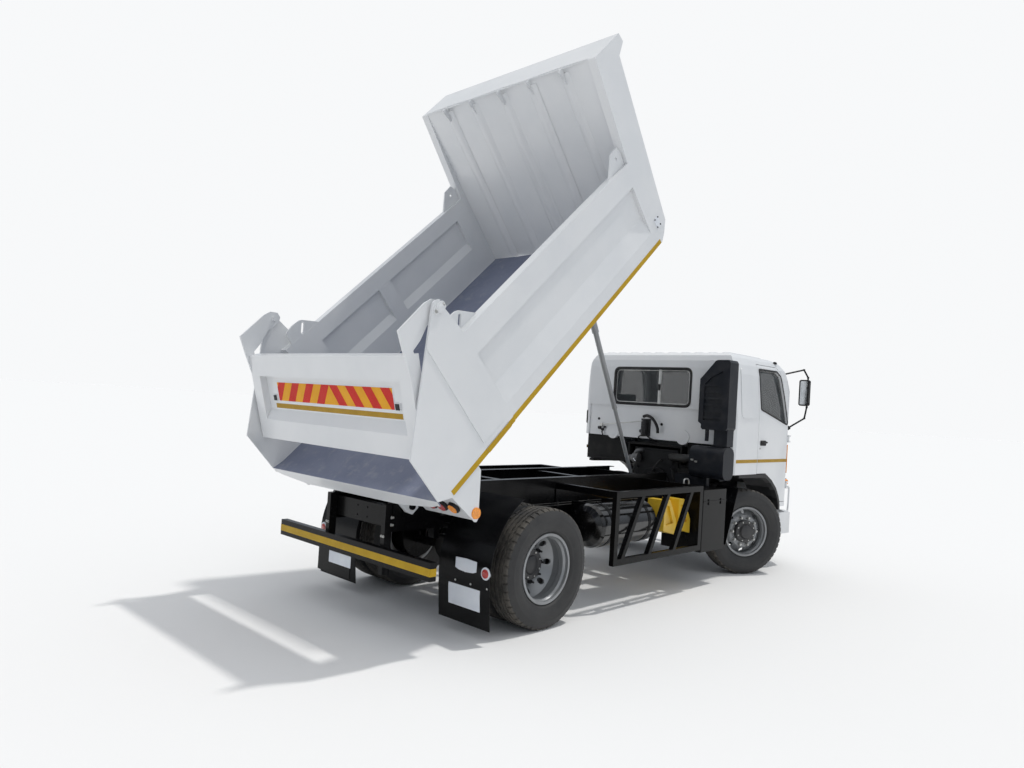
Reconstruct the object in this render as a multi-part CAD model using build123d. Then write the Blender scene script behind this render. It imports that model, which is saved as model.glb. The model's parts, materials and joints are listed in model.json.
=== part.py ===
"""A rear-tipping dump truck on two axles, with its bin raised and its rear gate hanging.

X points forward, Y to the left and Z up, in millimetres. Places are counted from the rear
axle, on the ground, and save() then moves the whole truck so that X = 0 is half-way along it.
Pieces of the bin are drawn with the bin level, in the bin's own frame, whose origin is the
rear end of the bottom edge, and are then tipped about the bin's pivot.
"""
import math
import os

from build123d import *

# Truck
ORIGIN_X = 1675.0
WHEELBASE = 3900.0
CLEAR = 6.0

# Tyres and rims
TYRE_R = 512.0
TYRE_WIDTH = 272.0
TREAD_WIDTH = 216.0
SHOULDER_DROP = 12.0
RIM_R = 286.0
RIM_FLANGE_R = 298.5
RIM_FLANGE_OUT = 104.0
RIM_WALL = 10.0
BEAD_GAP = 0.3
DISC_T = 14.0
HUB_BORE_R = 108.0
FRONT_DISC_OUT = 52.0
FRONT_HUB_IN = -8.0
DUAL_PITCH = 312.0
HUB_DEPTH = 60.0
FRONT_WHEEL_Y = 1005.0
REAR_WHEEL_Y = 1054.0
HAND_HOLES = 8
HAND_HOLE_R = 27.0
HAND_HOLE_CIRCLE_R = 232.0
HAND_HOLE_SIDES = 12
DISC_FLAT_R = 190.0
DISC_RISE = 74.0
WELL_Y = (14.0, 56.0)
WELL_R = 263.0

# Steering
KINGPIN_Y = 820.0
STEER_RIGHT = 27.8
KINGPIN_R = 22.0
AXLE_DROP_Z = 420.0

# Chassis frame
RAIL_OUT_Y = 425.0
RAIL_WIDTH = 76.0
RAIL_HEIGHT = 222.0
RAIL_T = 8.0
RAIL_TOP_Z = 1015.0
FRAME_REAR_X = -1100.0
FRAME_FRONT_X = WHEELBASE + 840.0
SUBFRAME_HEIGHT = 160.0
SUBFRAME_FRONT_X = 2960.0
SUBFRAME_T = 7.0
CROSS_DEPTH = 170.0
CROSS_WIDTH = 70.0
COUPLING_Y = 140.0
COUPLING_Z = 80.0
COUPLING_HOLE_R = 8.5
CROSS_XS = (-1060.0, -420.0, 420.0, 1150.0, 1900.0, 2450.0)

# Bin pivot and hoist, side view
PIVOT_X = -950.0
PIVOT_Z = 1000.0
PIVOT_R = 30.0
PIVOT_LUG_Y = 452.0
PIVOT_LUG_T = 26.0
BED_RAISE = 43.0
PIVOT_IN_BED_X = 37.0
PIVOT_IN_BED_Z = -274.0
HOIST_BASE_X = 2870.0
HOIST_BASE_Z = 1050.0
HOIST_TOP_X = 3930.0
HOIST_TOP_Z = 1100.0
HOIST_PIN_R = 24.0
HOIST_BEAM_DROP = 92.0
CLEVIS_Y = 62.0
CLEVIS_T = 20.0

# Bin, in its own frame
BED_OUT_Y = 1190.0
BED_WALL = 88.0
BED_SHEET = 12.0
FLOOR_Z = 40.0
FLOOR_T = 10.0
RAIL_Z = 883.0
BAND_Z = 157.0
BAY_OUT_LOW_Z = 350.0
BAY_OUT_TOP_Z = 670.0
BAY_IN_LOW_Z = 430.0
BAY_IN_FOOT_Z = 340.0
BAY_IN_TOP_Z = 720.0
BAY_OUT_X = (830.0, 3400.0)
INNER_BAYS = ((1010.0, 1870.0), (2050.0, 3250.0))
WALL_REAR_LOW_X = 842.0
WALL_REAR_TOP_X = 640.0
TAIL_X = -115.0
EAR_KINK_Z = 480.0
EAR_FRONT_X = 790.0
EAR_T = 8.0
DOUBLER_T = 6.0
DOUBLER_X = 480.0
GATE_PIN_X = 750.0
GATE_PIN_Z = 1165.0
GATE_PIN_R = 22.0
EAR_TOP_R = 64.0
LUG_T = 16.0
LUG_HOLE_R = 14.0
# Outlines of the lashing eyes in side view, each as (x, z), and the middles of their holes
REAR_LUG = ((730.0, 879.0), (745.0, 1000.0), (841.0, 1020.0), (925.0, 1016.0), (957.0, 1002.0), (1094.0, 879.0))
REAR_SLOT = ((940.0, 966.0), (883.0, 906.0))
FRONT_LUG = ((3150.0, 879.0), (3319.0, 1052.0), (3433.0, 1064.0), (3466.0, 1004.0), (3453.0, 879.0))
FRONT_HOLE = (3370.0, 983.0)
BED_FRONT_X = 3500.0
HEAD_TOP_Z = 1854.0
HEAD_LEAN = 80.0
HEAD_SHEET = 10.0
HEAD_FOLD = 26.0
HEAD_PANELS = 6
HEAD_INTO_WING = 6.0
CAP_LINE = ((431.0, 1716.0), (560.0, 1795.0), (540.0, 1880.0), (76.0, 1846.0))
GUSSET_YS = (-800.0, -400.0, 0.0, 400.0, 800.0)

# Gate, from its pin, hanging
GATE_HALF = BED_OUT_Y - 28.0
GATE_TOP = (-220.0, -360.0)
GATE_FOOT = (-20.0, -1100.0)
GATE_DEPTH = 96.0
GATE_ARM_T = 16.0

# Cab, in its own frame, whose origin is under the front axle
CAB_REAR_X = -630.0
CAB_HALF = 1110.0
CAB_TOP_Z = 2665.0
CAB_SILL_Z = 1210.0
CAB_WALL_Z = 1548.0
CAB_CREASE_Z = 1952.0
CAB_CREASE = 12.0
CAB_SKIN = 45.0
CAB_FRONT_X = 1100.0
CAB_BOTTOM_Z = 777.0
CAB_HINGE_X = 980.0
CAB_HINGE_Z = 840.0
CAB_PIN_R = 20.0
HINGE_PLATE_Y = 349.0
DOOR_REAR_X = -10.0
DOOR_AXIS = (848.0, -1108.0)
DOOR_HINGE_ZS = (1050.0, 1650.0)
HINGE_R = 12.0
HINGE_PIN_R = 7.0
HINGE_LENGTH = 50.0
HINGE_LUG_DZ = HINGE_LENGTH / 2 + 12.0
BELT_Z = 1806.0

# Axles and springs
DIFF_R = 200.0
AXLE_TUBE_R = 70.0
AXLE_NOSE = 130.0
REAR_STUB_R = 50.0
REAR_STUB = 90.0
FRONT_STUB_R = 42.0
FRONT_STUB = 56.0
STUB_GAP = 0.4
DRUM_R = 205.0
DRUM_Y = 640.0
FRONT_DRUM_Y = (FRONT_WHEEL_Y - 108.0, FRONT_WHEEL_Y - 18.0)
SPRING_Y = 387.0
SPRING_WIDTH = 76.0
LEAF_T = 14.0
SPRING_RISE = 70.0
FRONT_SPRING = 1350.0
REAR_SPRING = 1250.0

# Drive
ENGINE_X = (WHEELBASE - 540.0, WHEELBASE + 540.0)
ENGINE_HALF = 320.0
ENGINE_Z = (640.0, 1430.0)
ENGINE_MOUNT_XS = (ENGINE_X[0] + 200.0, ENGINE_X[1] - 180.0)
GEARBOX_Z = 730.0

# Hung on the frame
FUEL_X = (1000.0, 1950.0)
FUEL_Y = (500.0, 1080.0)
FUEL_Z = (430.0, 960.0)
BATTERY_X = (WHEELBASE - 1340.0, WHEELBASE - 810.0)
CHOCK_L = 250.0
CHOCK_PITCH = 280.0
CHOCK_XS = (BATTERY_X[0] - 30.0 - CHOCK_L - CHOCK_PITCH, BATTERY_X[0] - 30.0 - CHOCK_L)
CHOCK_Y = (-1020.0, -810.0)
CHOCK_Z = (590.0, 970.0)
AIR_TANK_X = (940.0, CHOCK_XS[0] - 50.0)
AIR_TANK_Y = -790.0
AIR_TANK_Z = 745.0
AIR_TANK_R = 215.0
BATTERY_Y = (-1150.0, -640.0)
BATTERY_Z = (390.0, 1070.0)
SILENCER_X = (FUEL_X[1] + 300.0, WHEELBASE - 950.0)
SILENCER_Y = 700.0
SILENCER_Z = 640.0
SILENCER_R = 140.0
GUARD_X = (915.0, BATTERY_X[0] - 60.0)
GUARD_Z = (430.0, 1125.0)
GUARD_Y = 1180.0
GUARD_TUBE = 60.0
GUARD_SLANTS = 3
GUARD_FOOT = 0.083
GUARD_STEP = 0.287
GUARD_LEAN = 335.0
GUARD_ANGLE = 50.0
GUARD_SHEET = 5.0
REAR_GUARD_R = 725.0
REAR_GUARD_Y = (600.0, 1200.0)
REAR_FLAP_Z = 110.0
FRONT_FLAP = ((WHEELBASE - 740.0, 420.0), (WHEELBASE - 600.0, 780.0), (WHEELBASE - 490.0, 1060.0))
FRONT_FLAP_Y = (850.0, 1130.0)
REAR_BAR_X = -1170.0
REAR_BAR_HALF = 1080.0
REAR_BAR_Z = (540.0, 680.0)
FRONT_BUMPER_X = WHEELBASE + 1180.0
FRONT_BUMPER_Z = (420.0, 690.0)
CLEANER_X = (WHEELBASE - 900.0, WHEELBASE - 650.0)
CLEANER_Y = (-1130.0, -690.0)
CLEANER_Z = (1160.0, 1530.0)

# More of the bin
LAMP_TIP = (60.0, -329.0)
LAMP_BOARD_Y = (600.0, 1180.0)
BED_BEAM_Y = (350.0, 440.0)
BED_BEAM_Z = -92.0
BED_BEAM_REAR = 128.0
BEARER_COUNT = 8
HOIST_EAR_Y = 90.0
STAGE_L = 1150.0
STAGE_OVERLAP = 150.0
SLEEVE_GAP = 0.3
STAGE_R = (55.0, 40.0, 31.0, 23.0)
GATE_BAY = (190.0, 500.0)
GATE_BAY_V = -60.0
ARM = (
    (-101.0, 25.0), (-319.0, -198.0), (-258.0, -346.0), (-175.0, -526.0), (-92.0, -623.0),
    (-110.0, -474.0), (-176.0, -323.0), (-119.0, -246.0), (-60.0, -120.0), (45.0, -40.0),
    (60.0, 20.0), (30.0, 60.0), (-40.0, 62.0),
)

# More of the cab
DOOR_T = 60.0
TUNNEL_HALF = 400.0
TUNNEL_Z = 1490.0
DOOR_LEAF = (
    (-10.0, 1215.0), (-10.0, 2555.0), (540.0, 2555.0), (660.0, 2480.0), (845.0, 1806.0), (845.0, 840.0),
    (690.0, 840.0), (640.0, 905.0), (550.0, 1025.0), (410.0, 1130.0), (270.0, 1195.0), (226.0, 1215.0),
)
DOOR_HOLE = (
    (-16.0, 1000.0), (-16.0, 2561.0), (544.0, 2561.0), (666.0, 2484.0), (851.0, 1806.0), (851.0, 834.0),
    (100.0, 834.0),
)
DOOR_WINDOW = (
    (60.0, 2012.0), (37.0, 2490.0), (530.0, 2490.0), (622.0, 2440.0), (700.0, 2200.0), (790.0, 1846.0),
    (740.0, 1850.0),
)
DOOR_WINDOW_R = 24.0
WHEEL_ARCH = (
    (226.0, CAB_SILL_Z), (270.0, 1190.0), (410.0, 1125.0), (550.0, 1020.0), (640.0, 900.0), (680.0, 800.0),
    (684.0, CAB_BOTTOM_Z),
)
WINDSCREEN = ((-980.0, 1830.0), (-900.0, 2500.0), (900.0, 2500.0), (980.0, 1830.0))
WINDSCREEN_R = 70.0
CORNER_PANEL_X = (-470.0, -150.0)
CORNER_PANEL_Z = (1885.0, 2490.0)
CORNER_PANEL_RISE = 7.0
WALL_TABS = (632.0, -420.0)
WALL_TAB_R = 92.0
WALL_TAB_Z = 1604.0
GRILLE_HALF = 760.0
GRILLE_Z = (1120.0, 1420.0)
GRILLE_SLOTS = 4
HEADLAMP_Y = (-1000.0, -720.0)
HEADLAMP_Z = (900.0, 1060.0)
CORNER_LAMP_Z = (1200.0, 1570.0)
WHEEL_SIDE_Y = 640.0
STEERING_CENTRE = (520.0, -WHEEL_SIDE_Y, 1690.0)
STEERING_AXIS = (-0.82, 0.0, 0.57)
STEERING_R = 210.0
STEERING_RIM_R = 14.0
INTAKE_X = -830.0
INTAKE_Y = (-1120.0, -740.0)
INTAKE_Z = (1725.0, 2545.0)
INTAKE_SLATS = 6
LAMP_YS = (1090.0, 960.0, 840.0)
LAMP_Z = -150.0
LAMP_R = 42.0
REAR_WINDOW = ((-500.0, 1982.0), (-500.0, 2450.0), (640.0, 2450.0), (640.0, 1982.0))
REAR_WINDOW_R = 75.0


def block(x, y, z):
    """A box between two ends on each axis."""
    size = (x[1] - x[0], y[1] - y[0], z[1] - z[0])
    middle = ((x[0] + x[1]) / 2, (y[0] + y[1]) / 2, (z[0] + z[1]) / 2)
    return Pos(*middle) * Box(*size)


def side_plate(points, y):
    """A plate drawn in side view, as (x, z) points, between two values of y."""
    outline = Polyline(*[(px, y[0], pz) for px, pz in points], close=True)
    return extrude(make_face(outline), amount=y[1] - y[0], dir=(0, 1, 0))


def plan_plate(points, z):
    """A plate drawn from above, as (x, y) points, between two heights."""
    outline = Polyline(*[(px, py, z[0]) for px, py in points], close=True)
    return extrude(make_face(outline), amount=z[1] - z[0], dir=(0, 0, 1))


def front_plate(points, x):
    """A plate drawn in front view, as (y, z) points, between two values of x."""
    outline = Polyline(*[(x[0], py, pz) for py, pz in points], close=True)
    return extrude(make_face(outline), amount=x[1] - x[0], dir=(1, 0, 0))


def bent_outline(points, thickness):
    """The closed outline of a bent sheet: the points, and the same points moved to the left."""
    moved = []
    for index, point in enumerate(points):
        before = points[max(index - 1, 0)]
        after = points[min(index + 1, len(points) - 1)]
        into = unit(point[0] - before[0], point[1] - before[1])
        out = unit(after[0] - point[0], after[1] - point[1])
        into = out if index == 0 else into
        out = into if index == len(points) - 1 else out
        normal = (-(into[1] + out[1]), into[0] + out[0])
        scale = thickness / (1 + into[0] * out[0] + into[1] * out[1])
        moved.append((point[0] + normal[0] * scale, point[1] + normal[1] * scale))
    return list(points) + moved[::-1]


def unit(dx, dz):
    """A direction of length one."""
    length = math.hypot(dx, dz) or 1.0
    return (dx / length, dz / length)


def across(x, z, radius, y):
    """A round bar along Y at one place in side view."""
    return Pos(x, (y[0] + y[1]) / 2, z) * Rot(90, 0, 0) * Cylinder(radius, y[1] - y[0])


def along(y, z, radius, x):
    """A round bar along X."""
    return Pos((x[0] + x[1]) / 2, y, z) * Rot(0, 90, 0) * Cylinder(radius, x[1] - x[0])


def bar(start, end, radius):
    """A round bar from one point to another."""
    start, end = Vector(*start), Vector(*end)
    return Plane(origin=start, z_dir=end - start) * Cylinder(
        radius, (end - start).length, align=(Align.CENTER, Align.CENTER, Align.MIN)
    )


def on_both_sides(shape):
    """A shape on the right or left, and its mirror image on the other side."""
    return [shape, mirror(shape, about=Plane.XZ)]


def joined(shapes):
    """Shapes that touch or overlap, as one solid."""
    first, *rest = shapes
    return first.fuse(*rest).clean() if rest else first


def tip(shape):
    """Take a piece of the bin from its own level frame to its raised place."""
    level = Pos(-PIVOT_IN_BED_X, 0, -PIVOT_IN_BED_Z) * shape
    return Pos(PIVOT_X, 0, PIVOT_Z) * Rot(0, -BED_RAISE, 0) * level


def tipped_point(x, z):
    """Where a point of the bin's own frame lies with the bin raised."""
    angle = math.radians(BED_RAISE)
    dx, dz = x - PIVOT_IN_BED_X, z - PIVOT_IN_BED_Z
    return (
        PIVOT_X + dx * math.cos(angle) - dz * math.sin(angle),
        PIVOT_Z + dx * math.sin(angle) + dz * math.cos(angle),
    )


def save(name, *shapes):
    """Write one node, moved so that the truck's middle is at X = 0."""
    solids = []
    for shape in shapes:
        for item in shape if isinstance(shape, list) else [shape]:
            solids.extend(item.solids())
    moved = [Pos(-ORIGIN_X, 0, 0) * solid for solid in solids]
    export_step(moved[0] if len(moved) == 1 else Compound(children=moved), f"parts/{name}.step")


# Wheels

def tyre():
    """One tyre about the Y axis, in few straight lines: its tread is finer in the look of the truck."""
    half, tread = TYRE_WIDTH / 2, TREAD_WIDTH / 2
    bead, foot = RIM_FLANGE_OUT - RIM_WALL - BEAD_GAP, RIM_R + BEAD_GAP
    upper = [
        (foot, bead), (RIM_FLANGE_R + 8, bead), (RIM_FLANGE_R + 62, half - 3), (TYRE_R - 56, half - 2),
        (TYRE_R, tread - SHOULDER_DROP),
    ]
    return turned([*upper, *[(radius, -y) for radius, y in upper[::-1]]])


def turned(section):
    """A ring or disc turned about the Y axis from (radius, y) points."""
    return revolve(make_face(Polyline(*section, close=True)), axis=Axis.Y, revolution_arc=360)


def rim_shell(disc_y, rise):
    """One rim about the Y axis: barrel, flanges, well and dished disc, its outside towards +Y.

    The disc is flat at disc_y from the hub to DISC_FLAT_R, and rises by one value to the barrel.
    """
    out, bore = RIM_FLANGE_OUT, RIM_R - RIM_WALL
    edge = disc_y + rise
    section = [
        (bore, -out), (RIM_FLANGE_R, -out), (RIM_FLANGE_R, -out + RIM_WALL), (RIM_R, -out + RIM_WALL),
        (RIM_R, out - RIM_WALL), (RIM_FLANGE_R, out - RIM_WALL), (RIM_FLANGE_R, out), (bore, out),
        (bore, WELL_Y[1] + 18), (WELL_R, WELL_Y[1]), (WELL_R, WELL_Y[0]), (bore, WELL_Y[0] - 18),
        (bore, edge + 3), (DISC_FLAT_R, disc_y), (HUB_BORE_R, disc_y), (HUB_BORE_R, disc_y - DISC_T),
        (DISC_FLAT_R, disc_y - DISC_T), (bore, edge - DISC_T),
    ]
    shell = turned(section)
    for index in range(HAND_HOLES):
        angle = 2 * math.pi * index / HAND_HOLES
        place = (HAND_HOLE_CIRCLE_R * math.cos(angle), HAND_HOLE_CIRCLE_R * math.sin(angle))
        hole = Pos(place[0], edge - rise / 2, place[1])
        shell = shell - hole * Rot(90, 0, 0) * extrude(
            RegularPolygon(HAND_HOLE_R, HAND_HOLE_SIDES), amount=abs(rise) + DISC_T, both=True)
    return shell


def inner_rim(disc_y):
    """The rim of the inner twin wheel, plain where the outer wheel hides it."""
    out, bore = RIM_FLANGE_OUT, RIM_R - RIM_WALL
    return turned([
        (bore, -out), (RIM_FLANGE_R, -out), (RIM_R, -out + RIM_WALL), (RIM_R, out - RIM_WALL),
        (RIM_FLANGE_R, out), (bore, out), (bore, disc_y), (HUB_BORE_R, disc_y),
        (HUB_BORE_R, disc_y - DISC_T), (bore, disc_y - DISC_T),
    ])


def hub(outer_y, inner_y, stub_r, depth):
    """The hub that the disc is bolted to, about the Y axis, bored from inside for the axle's stub."""
    bore = across(0, 0, stub_r + STUB_GAP, (inner_y - 10, inner_y + depth))
    return across(0, 0, HUB_BORE_R + 4, (inner_y, outer_y)) - bore


def rotate_steer(shape, side):
    """Turn a steered piece about its kingpin, as the truck stands."""
    pin = Pos(WHEELBASE, side * KINGPIN_Y, 0)
    return pin * Rot(0, 0, -STEER_RIGHT) * pin.inverse() * shape


def make_wheels():
    for name, side in (("right", -1), ("left", 1)):
        turn = Rot(0, 0, 0) if side > 0 else Rot(0, 0, 180)
        front = Pos(WHEELBASE, side * FRONT_WHEEL_Y, TYRE_R) * turn
        save(f"tyre_front_{name}", rotate_steer(front * tyre(), side))
        front_hub = hub(96, FRONT_HUB_IN, FRONT_STUB_R, FRONT_STUB - FRONT_HUB_IN + 4)
        front_rim = joined([rim_shell(FRONT_DISC_OUT, -DISC_RISE), front_hub])
        save(f"rim_front_{name}", rotate_steer(front * front_rim, side))
        outer = Pos(0, side * REAR_WHEEL_Y, TYRE_R) * turn
        inner = Pos(0, side * (REAR_WHEEL_Y - DUAL_PITCH), TYRE_R) * turn
        save(f"tyres_rear_{name}", outer * tyre(), inner * tyre())
        seat = -DUAL_PITCH / 2 + DISC_T
        outer_rim = outer * rim_shell(seat, DISC_RISE)
        twin_rim = inner * Rot(0, 0, 180) * inner_rim(seat)
        rear_hub = outer * hub(seat + 60, seat - HUB_DEPTH, REAR_STUB_R, REAR_STUB + 6)
        save(f"rims_rear_{name}", joined([outer_rim, twin_rim, rear_hub]))


def make_knuckles():
    for name, side in (("right", -1), ("left", 1)):
        pin = Pos(WHEELBASE, side * KINGPIN_Y, TYRE_R)
        body = pin * Box(88, 88, 150)
        tip_y = FRONT_WHEEL_Y + FRONT_STUB
        spindle = across(WHEELBASE, TYRE_R, FRONT_STUB_R, sorted((side * KINGPIN_Y, side * tip_y)))
        drum = across(WHEELBASE, TYRE_R, DRUM_R, sorted((side * FRONT_DRUM_Y[0], side * FRONT_DRUM_Y[1])))
        bore = pin * Cylinder(KINGPIN_R + 0.5, 200)
        save(f"knuckle_{name}", rotate_steer(joined([body, spindle, drum]) - bore, side))


# Chassis

def rail(side, x, z, width, thickness):
    """A channel along X, open towards the middle of the truck."""
    out, into = side * RAIL_OUT_Y, side * (RAIL_OUT_Y - width)
    web = side * (RAIL_OUT_Y - thickness)
    points = [
        (out, z[0]), (out, z[1]), (into, z[1]), (into, z[1] - thickness),
        (web, z[1] - thickness), (web, z[0] + thickness), (into, z[0] + thickness), (into, z[0]),
    ]
    return front_plate(points, x)


def cross_block(x, width, half, z):
    """A cross member between the two rails."""
    return block((x - width / 2, x + width / 2), (-half, half), z)


def make_chassis_frame():
    bottom = RAIL_TOP_Z - RAIL_HEIGHT
    inner = RAIL_OUT_Y - RAIL_T
    pieces = [
        rail(side, (FRAME_REAR_X, FRAME_FRONT_X), (bottom, RAIL_TOP_Z), RAIL_WIDTH, RAIL_T)
        for side in (-1, 1)
    ]
    low = bottom + (RAIL_HEIGHT - CROSS_DEPTH) / 2
    for x in (*CROSS_XS, FRAME_FRONT_X - 60):
        pieces.append(cross_block(x, CROSS_WIDTH, inner, (low, low + CROSS_DEPTH)))
    beam_top = HOIST_BASE_Z - HOIST_BEAM_DROP
    pieces.append(cross_block(HOIST_BASE_X, 180, inner, (beam_top - 60, beam_top)))
    for side in (-1, 1):
        clevis = side_plate(
            [(HOIST_BASE_X - 80, beam_top - 5), (HOIST_BASE_X - 40, HOIST_BASE_Z + 45),
             (HOIST_BASE_X + 40, HOIST_BASE_Z + 45), (HOIST_BASE_X + 80, beam_top - 5)],
            sorted((side * CLEVIS_Y, side * (CLEVIS_Y + CLEVIS_T))))
        pieces.append(clevis)
        pieces.append(cab_hinge_bracket(side))
        mount_y = sorted((side * ENGINE_HALF, side * (inner + 2)))
        pieces += [block((x - 45, x + 45), mount_y, (bottom + 40, bottom + 120)) for x in ENGINE_MOUNT_XS]
    frame = joined(pieces)
    middle_z = low + CROSS_DEPTH / 2
    rear_member = (CROSS_XS[0] - CROSS_WIDTH, CROSS_XS[0] + CROSS_WIDTH)
    for y in (-COUPLING_Y / 2, COUPLING_Y / 2):
        for z in (middle_z - COUPLING_Z / 2, middle_z + COUPLING_Z / 2):
            frame = frame - along(y, z, COUPLING_HOLE_R, rear_member)
    save("chassis_frame", frame)


def cab_hinge_bracket(side):
    """The bracket and pin at a rail's front end that the cab tilts on."""
    y = sorted((side * HINGE_PLATE_Y, side * (HINGE_PLATE_Y + 26)))
    x, z = WHEELBASE + CAB_HINGE_X, CAB_HINGE_Z
    plate = side_plate(
        [(FRAME_FRONT_X - 10, z - 40), (x - 10, z - 38), (x + 32, z - 20), (x + 32, z + 24), (x - 20, z + 38),
         (FRAME_FRONT_X - 10, z + 100)], y)
    pin_y = sorted((side * (HINGE_PLATE_Y + 26), side * (HINGE_PLATE_Y - 70)))
    return joined([plate, across(x, z, CAB_PIN_R, pin_y)])


def make_subframe():
    base, top = RAIL_TOP_Z, RAIL_TOP_Z + SUBFRAME_HEIGHT
    inner = RAIL_OUT_Y - SUBFRAME_T
    pieces = [
        rail(side, (FRAME_REAR_X, SUBFRAME_FRONT_X), (base, top), RAIL_WIDTH, SUBFRAME_T)
        for side in (-1, 1)
    ]
    for x in (FRAME_REAR_X + 60, 300.0, 1500.0, 2560.0):
        pieces.append(cross_block(x, 80, inner, (base + 20, top - 20)))
    for side in (-1, 1):
        y = sorted((side * (RAIL_OUT_Y + 1), side * (RAIL_OUT_Y + 17)))
        pieces.append(side_plate(
            [(PIVOT_X - 60, PIVOT_Z - 60), (PIVOT_X - 60, top - 30), (PIVOT_X + 150, top - 30),
             (PIVOT_X + 60, PIVOT_Z - 60)], y))
        pad = sorted((side * (RAIL_OUT_Y - 2), side * (RAIL_OUT_Y + 2)))
        pieces.append(block((PIVOT_X - 60, PIVOT_X + 140), pad, (base + 20, top - 30)))
        pin_y = sorted((side * (RAIL_OUT_Y + 1), side * (PIVOT_LUG_Y + PIVOT_LUG_T + 14)))
        pieces.append(across(PIVOT_X, PIVOT_Z, PIVOT_R, pin_y))
    save("subframe", joined(pieces))


# Axles, springs and drive

def make_axles():
    drop = AXLE_DROP_Z
    beam_x = (WHEELBASE - 42, WHEELBASE + 42)
    bend = KINGPIN_Y - 200
    ends = [
        front_plate(
            [(bend, drop - 42), (bend, drop + 42), (KINGPIN_Y - 30, TYRE_R - 84),
             (KINGPIN_Y + 30, TYRE_R - 84), (KINGPIN_Y + 30, TYRE_R - 150), (KINGPIN_Y - 30, TYRE_R - 160)],
            beam_x),
        Pos(WHEELBASE, KINGPIN_Y, TYRE_R) * Cylinder(KINGPIN_R, 190),
    ]
    middle = block(beam_x, (-bend - 20, bend + 20), (drop - 42, drop + 42))
    save("front_axle", joined([middle, *[half for end in ends for half in on_both_sides(end)]]))
    hub_face = REAR_WHEEL_Y - DUAL_PITCH / 2 + DISC_T - HUB_DEPTH
    tube = across(0, TYRE_R, AXLE_TUBE_R, (-hub_face + 6, hub_face - 6))
    stubs = across(0, TYRE_R, REAR_STUB_R, (-hub_face - REAR_STUB, hub_face + REAR_STUB))
    bowl = [
        (0, -0.86 * DIFF_R), (0.5 * DIFF_R, -0.86 * DIFF_R), (0.95 * DIFF_R, -0.4 * DIFF_R),
        (DIFF_R, 0.1 * DIFF_R), (0.8 * DIFF_R, 0.62 * DIFF_R), (0.46 * DIFF_R, DIFF_R), (0, DIFF_R),
    ]
    housing = Pos(0, 0, TYRE_R) * Rot(0, 0, -90) * turned(bowl)
    nose = along(0, TYRE_R, 95, (0, DIFF_R + AXLE_NOSE))
    drums = [
        across(0, TYRE_R, DRUM_R, sorted((side * (DRUM_Y - 95), side * (DRUM_Y + 95))))
        for side in (-1, 1)
    ]
    save("rear_axle", joined([tube, stubs, housing, nose, *drums]))


def spring(x, axle_z, length, leaves):
    """One pack of leaves that sits on an axle, on the right side."""
    y = (-SPRING_Y - SPRING_WIDTH / 2, -SPRING_Y + SPRING_WIDTH / 2)
    pieces = []
    for index in range(leaves):
        half = length / 2 * (1 - index / (leaves + 1))
        z = axle_z + (leaves - index - 1) * LEAF_T
        rise = SPRING_RISE * half / (length / 2)
        pieces.append(side_plate(
            [(x - half, z + rise), (x, z), (x + half, z + rise),
             (x + half, z + rise + LEAF_T), (x, z + LEAF_T), (x - half, z + rise + LEAF_T)], y))
    top = axle_z + (leaves - 1) * LEAF_T + SPRING_RISE
    for side in (-1, 1):
        end = x + side * length / 2
        pieces.append(side_plate(
            [(end - 22, top - 18), (end + 22, top - 18), (end + 34, RAIL_TOP_Z - RAIL_HEIGHT),
             (end - 34, RAIL_TOP_Z - RAIL_HEIGHT)], y))
    return joined(pieces)


def make_springs():
    front = spring(WHEELBASE, AXLE_DROP_Z + 42, FRONT_SPRING, 4)
    rear = spring(0, TYRE_R + 70, REAR_SPRING, 6)
    save("leaf_springs", on_both_sides(front), on_both_sides(rear))


def make_drive():
    engine = block(ENGINE_X, (-ENGINE_HALF, ENGINE_HALF), ENGINE_Z)
    save("engine_block", engine)
    gear_front = ENGINE_X[0]
    gearbox = loft([
        Plane(origin=(gear_front, 0, GEARBOX_Z), z_dir=(-1, 0, 0)) * Circle(230),
        Plane(origin=(gear_front - 180, 0, GEARBOX_Z), z_dir=(-1, 0, 0)) * Circle(170),
    ])
    box = block((gear_front - 640, gear_front - 170), (-150, 150), (GEARBOX_Z - 150, GEARBOX_Z + 140))
    flange_x = gear_front - 640
    nose_x = DIFF_R + AXLE_NOSE
    flange = along(0, TYRE_R, 70, (nose_x, nose_x + 24))
    shaft = bar((nose_x + 12, 0, TYRE_R), (flange_x + 6, 0, GEARBOX_Z), 45)
    save("driveline", joined([gearbox, box, flange, shaft]))


# Tanks, boxes and guards hung on the frame

def make_tanks():
    x, y, z = FUEL_X, FUEL_Y, FUEL_Z
    tank = fillet(block(x, y, z).edges().filter_by(Axis.X), 60)
    straps = [
        block((sx - 20, sx + 20), (RAIL_OUT_Y, y[0] + 2), (z[1] - 230, z[1] - 130))
        for sx in (x[0] + 180, x[1] - 180)
    ]
    save("fuel_tank", joined([tank, *straps]))
    save("air_tanks", joined(round_tank()))
    x, y, z = BATTERY_X, BATTERY_Y, BATTERY_Z
    carrier = block((x[0] + 60, x[1] - 60), (y[1] - 2, -RAIL_OUT_Y), (z[1] - 240, z[1] - 170))
    box = fillet(block(x, y, z).edges().filter_by(Axis.Z), 18)
    save("battery_box", joined([box, carrier]))
    muffler = along(SILENCER_Y, SILENCER_Z, SILENCER_R, SILENCER_X)
    middle = sum(SILENCER_X) / 2
    stay = joined([
        block((middle - 25, middle + 25), (RAIL_OUT_Y, SILENCER_Y), (SILENCER_Z, SILENCER_Z + 60)),
        block((middle - 25, middle + 25), (RAIL_OUT_Y, RAIL_OUT_Y + 16), (SILENCER_Z, RAIL_TOP_Z - 130)),
    ])
    tail = along(SILENCER_Y, SILENCER_Z, 45, (SILENCER_X[0] - 220, SILENCER_X[0] + 10))
    save("silencer", joined([muffler, stay, tail]))


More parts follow.
